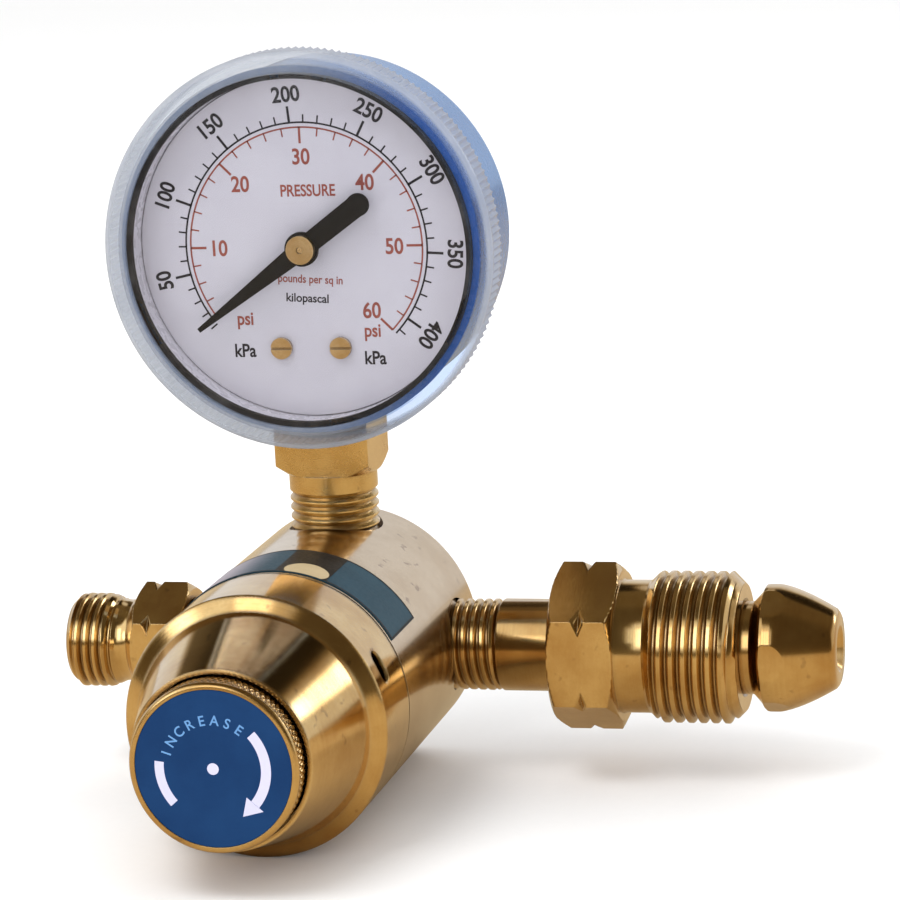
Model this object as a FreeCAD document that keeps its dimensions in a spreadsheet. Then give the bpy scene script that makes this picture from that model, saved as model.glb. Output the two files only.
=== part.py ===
import FreeCAD, Part
import math
import os
import re

import Sketcher

# Adjustable gas regulator. Millimetres, +Z up. The adjusting knob faces -Y, the inlet points to +X and the
# outlet to -X. Stations below are counted from the point where the round body's axis (along Y) crosses the
# inlet and outlet axis; the last step moves the origin from there to the outer end of the nut's full thread.

doc = FreeCAD.newDocument("gas_regulator")
sheet = doc.addObject("Spreadsheet::Sheet", "Sizes")

SIZES = {
    # fits
    "fit_gap": 0.03,
    "run_gap": 0.05,
    "edge": 0.4,
    # round body, stations along Y
    "body_radius": 19.05,
    "body_front": -33.0,
    "body_back": 10.0,
    "bonnet_thread": 16.6,
    "ledge": -25.5,
    "low_radius": 13.0,
    "low_floor": -20.5,
    "high_radius": 6.0,
    "high_end": 3.0,
    "port_radius": 6.9,
    "port_depth": 9.0,
    "passage_radius": 1.6,
    # bonnet
    "band_front": -45.6,
    "cone_radius": 16.9,
    "cone_start": -46.9,
    "nose_radius": 12.9,
    "nose_front": -62.4,
    "chamber_radius": 12.4,
    "web_rear": -50.0,
    "web_front": -54.2,
    "mouth_radius": 12.3,
    "vent_station": -41.3,
    "vent_width": 3.0,
    "vent_length": 4.8,
    "joint_groove": 0.4,
    # adjusting knob and screw
    "knob_radius": 12.0,
    "knob_front": -66.0,
    "knob_rear": -58.8,
    "disc_radius": 11.05,
    "disc_recess": 0.25,
    "disc_thickness": 0.2,
    "screw_radius": 4.763,
    "screw_pitch": 1.5875,
    "screw_head": -63.0,
    "screw_tip": -45.0,
    # spring, diaphragm and valve
    "spring_radius": 8.2,
    "spring_wire": 1.0,
    "spring_turns": 3.2,
    "button_rear": -42.5,
    "plate_front": -28.5,
    "diaphragm_front": -26.5,
    "nozzle_front": -22.7,
    "nozzle_rear": -13.5,
    "orifice_radius": 1.5,
    "pin_radius": 0.9,
    "seat_station": -13.0,
    "poppet_rear": -5.0,
    # inlet connector, stations along X
    "stem_radius": 6.86,
    "pipe_pitch": 1.411,
    "nut_rear": 34.0,
    "nut_across": 22.2,
    "nut_hex_end": 43.7,
    "nut_neck": 10.0,
    "nut_thread_start": 48.3,
    "nut_front": 61.75,
    "nut_chamfer": 1.8,
    "nut_thread": 11.24,
    "nut_pitch": 1.814,
    "nose_start": 64.6,
    "nose_base": 66.7,
    "nose_wide": 9.4,
    "nose_across": 18.0,
    "nose_tip": 75.7,
    "gas_bore": 2.6,
    # outlet connector, distances from the body axis
    "outlet_hex_start": 23.0,
    "outlet_hex_end": 31.0,
    "outlet_across": 15.9,
    "outlet_thread_start": 33.9,
    "outlet_end": 41.8,
    "outlet_chamfer": 1.2,
    "outlet_neck": 6.15,
    "outlet_thread": 7.14,
    "outlet_pitch": 1.411,
    # gauge socket
    "gauge_station": 1.0,
    "gauge_height": 61.5,
    "socket_width": 14.3,
    "socket_depth": 11.8,
    "socket_bottom": 26.6,
    "socket_top": 38.8,
    "stem_bottom": 10.0,
    "gauge_stem": 6.62,
    # gauge case, stations along Y
    "case_radius": 26.4,
    "case_wall": 1.2,
    "case_front": -9.2,
    "case_back": 13.5,
    "rim_radius": 27.0,
    "rim_front": -10.2,
    "lens_radius": 29.2,
    "lens_inner": 27.2,
    "lens_front": -12.2,
    "lens_rear": -5.2,
    "dial_radius": 25.1,
    "dial_front": -6.5,
    "dial_thickness": 0.8,
    "dial_screw_x": 4.5,
    "dial_screw_drop": 15.0,
    # gauge movement
    "post_half": 6.5,
    "plate_thickness": 0.8,
    "front_plate": -3.3,
    "back_plate": 4.0,
    "tooth_module": 0.30833,
    "pinion_teeth": 12,
    "gear_ratio": 8,
    "sector_bearing": 29.5,
    "sector_front": 0.6,
    "tail_length": 4.5,
    "tail_bearing": 169.5,
    "link_front": -0.6,
    "arbor_radius": 0.5,
    "pin_small": 0.6,
    "tip_x": 16.9,
    "tip_z": -9.8,
    "tube_radius": 19.0,
    "tube_front": 5.5,
    "tube_width": 5.5,
    "tube_thickness": 2.0,
    "tube_start": -105.0,
    "tube_sweep": 280.4,
    "pointer_rest": 216.0,
    "pointer_front": -9.0,
}

for row, (alias, value) in enumerate(SIZES.items(), start=1):
    sheet.set(f"A{row}", alias)
    sheet.set(f"B{row}", str(value))
    sheet.setAlias(f"B{row}", alias)
doc.recompute()

NODES = {}
AXIS_PLANE = {"X": "XZ_Plane", "Y": "YZ_Plane", "Z": "XZ_Plane"}
ORIGIN_AXIS = {"X": "X_Axis", "Y": "Y_Axis", "Z": "Z_Axis"}
# Normal of the sketch made on each plane, and whether its pads grow towards the positive axis.
GROWS_FORWARD = {"XY_Plane": True, "YZ_Plane": True, "XZ_Plane": False}
ALIGN = {
    "X": FreeCAD.Rotation(FreeCAD.Vector(0, 1, 0), 90),
    "Y": FreeCAD.Rotation(FreeCAD.Vector(1, 0, 0), -90),
    "Z": FreeCAD.Rotation(),
}


def ex(text):
    """Expression in which every sheet alias is addressed through the sheet."""
    return re.sub(r"[a-z][a-z_]+", lambda m: "Sizes." + m[0] if m[0] in SIZES else m[0], str(text))


# ---------------------------------------------------------------- PartDesign helpers


def new_body(name, node=True):
    body = doc.addObject("PartDesign::Body", name)
    body.Label = name
    if node:
        NODES[name] = body
    return body


def origin_part(body, role):
    return next(f for f in body.Origin.OriginFeatures if f.Role == role)


def new_sketch(body, plane, name, lift="0"):
    sketch = body.newObject("Sketcher::SketchObject", name)
    sketch.AttachmentSupport = [(origin_part(body, plane), "")]
    sketch.MapMode = "FlatFace"
    if lift != "0":
        sign = "" if GROWS_FORWARD[plane] else "-"
        sketch.setExpression("AttachmentOffset.Base.z", f"{sign}({ex(lift)})")
    return sketch


def pin_point(sketch, geometry, which, place):
    """Dimension one point from the sketch origin with two sheet expressions."""
    for text, kind, axis in ((place[0], "DistanceX", -2), (place[1], "DistanceY", -1)):
        if str(text) == "0":
            sketch.addConstraint(Sketcher.Constraint("PointOnObject", geometry, which, axis))
            continue
        index = sketch.addConstraint(Sketcher.Constraint(kind, -1, 1, geometry, which, 1.0))
        sketch.setExpression(f"Constraints[{index}]", ex(text))


def draw_outline(sketch, points):
    """Closed outline of straight edges through the given points."""
    count = len(points)
    ring = []
    for i in range(count):
        turn = 2 * math.pi * i / count
        ring.append(FreeCAD.Vector(30 * math.cos(turn), 30 * math.sin(turn), 0))
    for i in range(count):
        sketch.addGeometry(Part.LineSegment(ring[i], ring[(i + 1) % count]), False)
    for i in range(count):
        sketch.addConstraint(Sketcher.Constraint("Coincident", i, 2, (i + 1) % count, 1))
    for i, place in enumerate(points):
        pin_point(sketch, i, 1, place)


def draw_circle(sketch, centre, radius):
    index = sketch.addGeometry(Part.Circle(FreeCAD.Vector(1, 1, 0), FreeCAD.Vector(0, 0, 1), 1), False)
    pin_point(sketch, index, 3, centre)
    size = sketch.addConstraint(Sketcher.Constraint("Radius", index, 1.0))
    sketch.setExpression(f"Constraints[{size}]", ex(radius))


def revolve(body, axis, profile, label, cut=False, angle=None):
    """Turn a profile of (station, radius) pairs about one of the body's axes."""
    sketch = new_sketch(body, AXIS_PLANE[axis], label + "_profile")
    upright = axis == "Z"
    draw_outline(sketch, [(r, s) if upright else (s, r) for s, r in profile])
    feature = body.newObject("PartDesign::Groove" if cut else "PartDesign::Revolution", label)
    feature.Profile = sketch
    feature.ReferenceAxis = (sketch, ["V_Axis" if upright else "H_Axis"])
    if angle:
        feature.setExpression("Angle", ex(angle))
        feature.Midplane = True
    sketch.Visibility = False
    return feature


def turned(name, axis, profile, node=True, centre=None):
    body = new_body(name, node)
    if centre:
        for letter, text in zip("xyz", centre):
            body.setExpression(f"Placement.Base.{letter}", ex(text))
    revolve(body, axis, profile, name + "_turned")
    return body


def prism(body, plane, label, low, high, points=None, circles=(), cut=False):
    """Pad or pocket between two stations on the plane's normal axis."""
    forward = GROWS_FORWARD[plane] != cut
    sketch = new_sketch(body, plane, label + "_outline", low if forward else high)
    if points:
        draw_outline(sketch, points)
    for centre, radius in circles:
        draw_circle(sketch, centre, radius)
    feature = body.newObject("PartDesign::Pocket" if cut else "PartDesign::Pad", label)
    feature.Profile = sketch
    feature.setExpression("Length", ex(f"({high}) - ({low})"))
    sketch.Visibility = False
    return feature


def thread_rings(body, axis, label, first, crest, depth, pitch, turns):
    """Row of V grooves that leaves cylindrical crests at the thread's outside size."""
    half = f"0.42*{pitch}"
    profile = [
        (f"{first} - {half}", f"{crest} + 0.2"),
        (f"{first} - {half}", f"{crest}"),
        (f"{first}", f"{crest} - {depth}"),
        (f"{first} + {half}", f"{crest}"),
        (f"{first} + {half}", f"{crest} + 0.2"),
    ]
    groove = revolve(body, axis, profile, label, cut=True)
    pattern = body.newObject("PartDesign::LinearPattern", label + "_row")
    pattern.Originals = [groove]
    pattern.Direction = (origin_part(body, ORIGIN_AXIS[axis]), [""])
    pattern.setExpression("Length", ex(f"{pitch}*{turns - 1}"))
    pattern.Occurrences = turns
    body.Tip = pattern


def hexagon(across):
    """Corners of a hexagon whose flats face along the sketch's first axis."""
    corner = f"{across}/(2*cos(30))"
    side = f"{across}/2"
    return [
        (side, f"{corner}/2"),
        ("0", corner),
        (f"-{side}", f"{corner}/2"),
        (f"-{side}", f"-{corner}/2"),
        ("0", f"-{corner}"),
        (side, f"-{corner}/2"),
    ]


def revolve_at_gauge(body, label, profile):
    """Groove of (height, radius) pairs about the upright line through the gauge station."""
    sketch = new_sketch(body, "YZ_Plane", label + "_profile")
    draw_outline(sketch, [(f"gauge_station + {radius}", height) for height, radius in profile])
    line = sketch.addGeometry(Part.LineSegment(FreeCAD.Vector(1, 0, 0), FreeCAD.Vector(1, 9, 0)), True)
    pin_point(sketch, line, 1, ("gauge_station", "0"))
    pin_point(sketch, line, 2, ("gauge_station", "10"))
    groove = body.newObject("PartDesign::Groove", label)
    groove.Profile = sketch
    groove.ReferenceAxis = (sketch, ["Axis0"])
    sketch.Visibility = False
    return groove


def trim_corners(body, axis, label, station, inward, across):
    """Cut the 30 degree corner bevel of a hexagon at one end face."""
    corner = f"{across}/(2*cos(30))"
    profile = [
        (f"{station}", f"{across}/2"),
        (f"{station} + {inward}*0.9", f"{corner} + 0.1"),
        (f"{station} + {inward}*0.9", f"{corner} + 1"),
        (f"{station} - {inward}*0.5", f"{corner} + 1"),
        (f"{station} - {inward}*0.5", f"{across}/2"),
    ]
    revolve(body, axis, profile, label, cut=True)


# ---------------------------------------------------------------- Part helpers


def place(obj, base, rotation):
    obj.Placement = FreeCAD.Placement(FreeCAD.Vector(0, 0, 0), rotation)
    for letter, text in zip("xyz", base):
        obj.setExpression(f"Placement.Base.{letter}", ex(text))


def cylinder(name, axis, base, radius, height, extra=None):
    obj = doc.addObject("Part::Cylinder", name)
    obj.setExpression("Radius", ex(radius))
    obj.setExpression("Height", ex(height))
    rotation = ALIGN[axis] if extra is None else extra.multiply(ALIGN[axis])
    place(obj, base, rotation)
    return obj


def box(name, base, size, rotation=None):
    obj = doc.addObject("Part::Box", name)
    for key, text in zip(("Length", "Width", "Height"), size):
        obj.setExpression(key, ex(text))
    place(obj, base, rotation or FreeCAD.Rotation())
    return obj


def fuse(name, shapes, node=False):
    obj = doc.addObject("Part::MultiFuse", name)
    obj.Shapes = shapes
    if node:
        NODES[name] = obj
    return obj


def cut(name, base, tools, node=False):
    tool = tools[0] if len(tools) == 1 else fuse(name + "_tools", tools)
    obj = doc.addObject("Part::Cut", name)
    obj.Base = base
    obj.Tool = tool
    if node:
        NODES[name] = obj
    return obj


def coil(name, axis, start, length, mean_radius, wire, turns, node=True):
    """Helical spring whose end coils touch the stations start and start + length."""
    helix = doc.addObject("Part::Helix", name + "_path")
    helix.setExpression("Radius", ex(mean_radius))
    helix.setExpression("Height", ex(f"{length} - 2*{wire}"))
    helix.setExpression("Pitch", ex(f"({length} - 2*{wire})/({turns})"))
    helix.SegmentLength = 1
    ring = doc.addObject("Part::Circle", name + "_wire")
    ring.setExpression("Radius", ex(wire))
    ring.Placement.Rotation = FreeCAD.Rotation(FreeCAD.Vector(1, 0, 0), 90)
    ring.setExpression("Placement.Base.x", ex(mean_radius))
    sweep = doc.addObject("Part::Sweep", name)
    sweep.Sections = [ring]
    sweep.Spine = (helix, [])
    sweep.Solid = True
    sweep.Frenet = True
    base = ["0", "0", "0"]
    base["XYZ".index(axis)] = f"{start} + {wire}"
    place(sweep, base, ALIGN[axis])
    if node:
        NODES[name] = sweep
    return sweep


# ---------------------------------------------------------------- body and bonnet


def regulator_body():
    body = turned("regulator_body", "Y", [
        ("body_back", "0"),
        ("body_back", "body_radius - 2*edge"),
        ("body_back - 2*edge", "body_radius"),
        ("body_front", "body_radius"),
        ("body_front", "bonnet_thread"),
        ("ledge", "bonnet_thread"),
        ("ledge", "low_radius"),
        ("low_floor", "low_radius"),
        ("low_floor", "high_radius"),
        ("high_end", "high_radius"),
        ("high_end", "0"),
    ])
    inlet = [
        ("high_radius - 1", "0"),
        ("high_radius - 1", "gas_bore"),
        ("port_depth", "gas_bore"),
        ("port_depth", "port_radius"),
        ("body_radius + 1", "port_radius"),
        ("body_radius + 1", "0"),
    ]
    revolve(body, "X", inlet, "inlet_port", cut=True)
    outlet = [
        ("-port_depth", "0"),
        ("-port_depth", "port_radius"),
        ("-body_radius - 1", "port_radius"),
        ("-body_radius - 1", "0"),
    ]
    revolve(body, "X", outlet, "outlet_port", cut=True)
    prism(body, "XY_Plane", "gauge_port", "port_depth + 0.5", "body_radius + 1",
          circles=[(("0", "gauge_station"), "gauge_stem + fit_gap")], cut=True)
    countersink = [
        ("body_radius - 2.4", "gauge_stem"),
        ("body_radius + 1", "gauge_stem + 1.2"),
        ("body_radius + 1", "gauge_stem"),
    ]
    revolve_at_gauge(body, "gauge_countersink", countersink)
    prism(body, "XZ_Plane", "outlet_passage", "low_floor - 0.5", "0",
          circles=[(("-port_depth - 0.5", "0"), "passage_radius")], cut=True)
    prism(body, "XZ_Plane", "gauge_passage", "low_floor - 0.5", "gauge_station",
          circles=[(("0", "port_depth + 1"), "passage_radius")], cut=True)


def bonnet():
    body = turned("bonnet", "Y", [
        ("diaphragm_front - 1", "low_radius"),
        ("diaphragm_front - 1", "bonnet_thread - fit_gap - edge"),
        ("diaphragm_front - 1 - edge", "bonnet_thread - fit_gap"),
        ("body_front", "bonnet_thread - fit_gap"),
        ("body_front", "body_radius - joint_groove"),
        ("body_front - joint_groove", "body_radius - joint_groove"),
        ("body_front - joint_groove", "body_radius"),
        ("band_front", "body_radius"),
        ("band_front - 0.25", "body_radius - 0.2"),
        ("cone_start", "cone_radius"),
        ("nose_front", "nose_radius"),
        ("nose_front", "mouth_radius"),
        ("web_front", "mouth_radius"),
        ("web_front", "screw_radius + run_gap"),
        ("web_rear", "screw_radius + run_gap"),
        ("web_rear", "7.5"),
        ("web_rear + 3.5", "chamber_radius"),
        ("diaphragm_front - 2", "chamber_radius"),
    ])
    for number, bearing in enumerate((24.4, 186.0)):
        vent_slot(body, number + 1, bearing)


def vent_slot(body, number, bearing):
    """Round-ended slot through the bonnet wall: a block between two drilled holes."""
    turn = FreeCAD.Rotation(FreeCAD.Vector(0, 1, 0), -bearing)
    half_straight = (SIZES["vent_length"] - SIZES["vent_width"]) / 2
    inside = SIZES["chamber_radius"] - 1
    block = body.newObject("PartDesign::SubtractiveBox", f"vent_block_{number}")
    block.setExpression("Length", ex("body_radius - chamber_radius + 2"))
    block.setExpression("Width", ex("vent_width"))
    block.setExpression("Height", ex("vent_length - vent_width"))
    start = turn.multVec(FreeCAD.Vector(inside, 0, -half_straight))
    start.y = SIZES["vent_station"] - SIZES["vent_width"] / 2
    block.Placement = FreeCAD.Placement(start, turn)
    for end, reach in (("low", -half_straight), ("high", half_straight)):
        hole = body.newObject("PartDesign::SubtractiveCylinder", f"vent_{end}_end_{number}")
        hole.setExpression("Radius", ex("vent_width/2"))
        hole.setExpression("Height", ex("body_radius - chamber_radius + 2"))
        start = turn.multVec(FreeCAD.Vector(inside, 0, reach))
        start.y = SIZES["vent_station"]
        hole.Placement = FreeCAD.Placement(start, turn.multiply(ALIGN["X"]))


def body_label():
    body = new_body("body_label")
    profile = [
        ("body_front + 0.7", "body_radius"),
        ("body_front + 0.7", "body_radius + 0.12"),
        ("body_front + 13.2", "body_radius + 0.12"),
        ("body_front + 13.2", "body_radius"),
    ]
    revolve(body, "Y", profile, "body_label_wrap", angle="123")


# ---------------------------------------------------------------- knob and spring side


def adjusting_knob():
    turned("adjusting_knob", "Y", [
        ("knob_rear", "screw_radius + fit_gap"),
        ("knob_rear", "knob_radius - edge"),
        ("knob_rear - edge", "knob_radius"),
        ("knob_front + 0.5", "knob_radius"),
        ("knob_front", "knob_radius - 0.5"),
        ("knob_front", "disc_radius + fit_gap"),
        ("knob_front + disc_recess", "disc_radius + fit_gap"),
        ("knob_front + disc_recess", "0"),
        ("screw_head", "0"),
        ("screw_head", "screw_radius + fit_gap"),
    ])
    turned("knob_label", "Y", [
        ("knob_front + disc_recess", "0"),
        ("knob_front + disc_recess", "disc_radius"),
        ("knob_front + disc_recess - disc_thickness", "disc_radius"),
        ("knob_front + disc_recess - disc_thickness", "0"),
    ])


def adjusting_screw():
    body = turned("adjusting_screw", "Y", [
        ("screw_head", "0"),
        ("screw_head", "screw_radius - edge"),
        ("screw_head + edge", "screw_radius"),
        ("web_rear + 0.45", "screw_radius"),
        ("web_rear + 0.45", "screw_radius - 0.6"),
        ("web_rear + 1.3", "screw_radius - 0.6"),
        ("web_rear + 1.3", "screw_radius - 0.2"),
        ("screw_tip - 1.6", "screw_radius - 0.4"),
        ("screw_tip", "1.2"),
        ("screw_tip", "0"),
    ])
    thread_rings(body, "Y", "screw_thread", "web_front - 3.6", "screw_radius", "0.85", "screw_pitch", 5)
    turned("stop_ring", "Y", [
        ("web_rear + 0.45", "screw_radius - 0.57"),
        ("web_rear + 0.45", "6.2"),
        ("web_rear + 1.25", "6.2"),
        ("web_rear + 1.25", "screw_radius - 0.57"),
    ])


def spring_seats():
    turned("upper_spring_seat", "Y", [
        ("screw_tip", "0"),
        ("screw_tip", "10.1"),
        ("screw_tip + edge", "10.5"),
        ("button_rear", "10.5"),
        ("button_rear", "6.6"),
        ("button_rear + 2", "6.2"),
        ("button_rear + 2", "0"),
    ])
    turned("diaphragm_plate", "Y", [
        ("diaphragm_front", "0"),
        ("diaphragm_front", "11.5"),
        ("plate_front", "11.5"),
        ("plate_front", "6.6"),
        ("plate_front - 2", "6.2"),
        ("plate_front - 2", "0"),
    ])
    coil("adjusting_spring", "Y", "button_rear", "(plate_front - button_rear)", "spring_radius",
         "spring_wire", SIZES["spring_turns"])


def diaphragm_stack():
    turned("slip_ring", "Y", [
        ("diaphragm_front - 1", "12.6"),
        ("diaphragm_front - 1", "bonnet_thread - 0.1"),
        ("diaphragm_front", "bonnet_thread - 0.1"),
        ("diaphragm_front", "12.6"),
    ])
    turned("diaphragm", "Y", [
        ("diaphragm_front", "0"),
        ("diaphragm_front", "bonnet_thread - 0.2"),
        ("ledge", "bonnet_thread - 0.2"),
        ("ledge", "0"),
    ])


def valve():
    nozzle = turned("valve_nozzle", "Y", [
        ("low_floor - 0.5", "orifice_radius"),
        ("low_floor - 0.5", "high_radius - fit_gap"),
        ("nozzle_rear", "high_radius - fit_gap"),
        ("nozzle_rear", "orifice_radius + 0.8"),
        ("seat_station", "orifice_radius + 0.4"),
        ("seat_station", "orifice_radius"),
    ])
    prism(nozzle, "XZ_Plane", "nozzle_head", "nozzle_front", "low_floor - 0.5",
          points=hexagon("13"), circles=[(("0", "0"), "orifice_radius")])
    turned("nozzle_gasket", "Y", [
        ("low_floor - 0.5", "high_radius"),
        ("low_floor - 0.5", "high_radius + 1.2"),
        ("low_floor", "high_radius + 1.2"),
        ("low_floor", "high_radius"),
    ])
    turned("valve_stem", "Y", [
        ("ledge", "0"),
        ("ledge", "pin_radius - 0.3"),
        ("ledge + 0.3", "pin_radius"),
        ("seat_station + 1.5", "pin_radius"),
        ("seat_station + 1.5", "3.5"),
        ("seat_station + 0.4", "3.5"),
        ("seat_station + 0.4", "4.0"),
        ("poppet_rear - 2", "4.0"),
        ("poppet_rear - 1.5", "4.8"),
        ("poppet_rear", "4.8"),
        ("poppet_rear", "2.2"),
        ("poppet_rear + 4", "2.0"),
        ("poppet_rear + 4", "0"),
    ])
    turned("valve_seat_disc", "Y", [
        ("seat_station", "pin_radius"),
        ("seat_station", "3.45"),
        ("seat_station + 1.5", "3.45"),
        ("seat_station + 1.5", "pin_radius"),
    ])
    coil("valve_spring", "Y", "poppet_rear", "(high_end - poppet_rear)", "3.1", "0.35", 5)


# ---------------------------------------------------------------- inlet and outlet connectors


def inlet_nipple():
    body = turned("inlet_nipple", "X", [
        ("port_depth + 0.5", "4.0"),
        ("port_depth + 0.5", "stem_radius - 0.5"),
        ("port_depth + 1", "stem_radius"),
        ("nose_start - 1.4", "stem_radius"),
        ("nose_start", "nose_wide - 1"),
        ("nose_start + 0.5", "nose_wide"),
        ("nose_base", "nose_wide"),
        ("nose_base + 2.6", "nose_wide - 0.45"),
        ("nose_base + 5.2", "nose_wide - 1.4"),
        ("nose_base + 7.6", "nose_wide - 2.5"),
        ("nose_tip - 0.6", "5.9"),
        ("nose_tip", "5.2"),
        ("nose_tip", "gas_bore + 0.9"),
        ("nose_tip - 0.9", "gas_bore"),
        ("port_depth + 8.5", "gas_bore"),
        ("port_depth + 8.5", "4.0"),
    ])
    thread_rings(body, "X", "pipe_thread", "body_radius + 0.4", "stem_radius", "0.75", "pipe_pitch", 5)
    prism(body, "YZ_Plane", "nose_flats", "nose_start - 0.2", "nose_base + 6", points=hexagon("nose_across"),
          circles=[(("0", "0"), "nose_wide + 1")], cut=True)
    turned("inlet_filter", "X", [
        ("port_depth + 1", "0"),
        ("port_depth + 1", "4.0 - fit_gap"),
        ("port_depth + 8.2", "4.0 - fit_gap"),
        ("port_depth + 8.2", "0"),
    ])


def inlet_nut():
    body = turned("inlet_nut", "X", [
        ("nut_rear", "stem_radius + run_gap"),
        ("nut_rear", "nut_across/2 - 0.2"),
        ("nut_hex_end", "nut_across/2 - 0.2"),
        ("nut_hex_end", "nut_neck"),
        ("nut_thread_start", "nut_neck"),
        ("nut_thread_start + 0.9", "nut_thread"),
        ("nut_front - nut_chamfer", "nut_thread"),
        ("nut_front", "nut_thread - nut_chamfer"),
        ("nut_front", "stem_radius + run_gap + edge"),
        ("nut_front - edge", "stem_radius + run_gap"),
    ])
    prism(body, "YZ_Plane", "nut_hexagon", "nut_rear", "nut_hex_end", points=hexagon("nut_across"),
          circles=[(("0", "0"), "stem_radius + run_gap")])
    trim_corners(body, "X", "nut_bevel_rear", "nut_rear", 1, "nut_across")
    trim_corners(body, "X", "nut_bevel_front", "nut_hex_end", -1, "nut_across")
    middle = "(nut_rear + nut_hex_end)/2"
    notch = [
        (f"{middle} - 0.95", "nut_across/2 + 1.85"),
        (f"{middle}", "nut_across/2 + 0.8"),
        (f"{middle} + 0.95", "nut_across/2 + 1.85"),
    ]
    revolve(body, "X", notch, "left_hand_notch", cut=True)
    thread_rings(body, "X", "nut_thread_cut", "nut_thread_start + 1.5", "nut_thread", "1.05", "nut_pitch", 6)


def outlet_fitting():
    body = turned("outlet_fitting", "X", [
        ("-port_depth - 2", "gas_bore + 0.5"),
        ("-port_depth - 2", "stem_radius - 0.5"),
        ("-port_depth - 2.5", "stem_radius"),
        ("-outlet_hex_start", "stem_radius"),
        ("-outlet_hex_end", "stem_radius"),
        ("-outlet_hex_end", "outlet_across/2 - 0.1"),
        ("-outlet_hex_end - 1.2", "outlet_neck"),
        ("-outlet_thread_start + 0.6", "outlet_neck"),
        ("-outlet_thread_start", "outlet_thread - 0.8"),
        ("-outlet_thread_start - 0.8", "outlet_thread"),
        ("-outlet_end + outlet_chamfer", "outlet_thread"),
        ("-outlet_end", "outlet_thread - outlet_chamfer"),
        ("-outlet_end", "gas_bore + 2.9"),
        ("-outlet_end + 2.4", "gas_bore + 0.5"),
    ])
    prism(body, "YZ_Plane", "outlet_hexagon", "-outlet_hex_end", "-outlet_hex_start",
          points=hexagon("outlet_across"), circles=[(("0", "0"), "stem_radius - 1")])
    trim_corners(body, "X", "outlet_bevel_inner", "-outlet_hex_start", -1, "outlet_across")
    trim_corners(body, "X", "outlet_bevel_outer", "-outlet_hex_end", 1, "outlet_across")
    notch = [
        ("-outlet_hex_end + 1.95", "outlet_across/2 + 1.35"),
        ("-outlet_hex_end + 2.8", "outlet_across/2 + 0.4"),
        ("-outlet_hex_end + 3.65", "outlet_across/2 + 1.35"),
    ]
    revolve(body, "X", notch, "outlet_notch", cut=True)
    thread_rings(body, "X", "outlet_pipe_thread", "-outlet_hex_start + 0.9", "stem_radius", "0.75",
                 "pipe_pitch", 3)
    thread_rings(body, "X", "outlet_thread_cut", "-outlet_end + 2.1", "outlet_thread", "0.8",
                 "outlet_pitch", 4)


# ---------------------------------------------------------------- gauge casing


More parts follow.
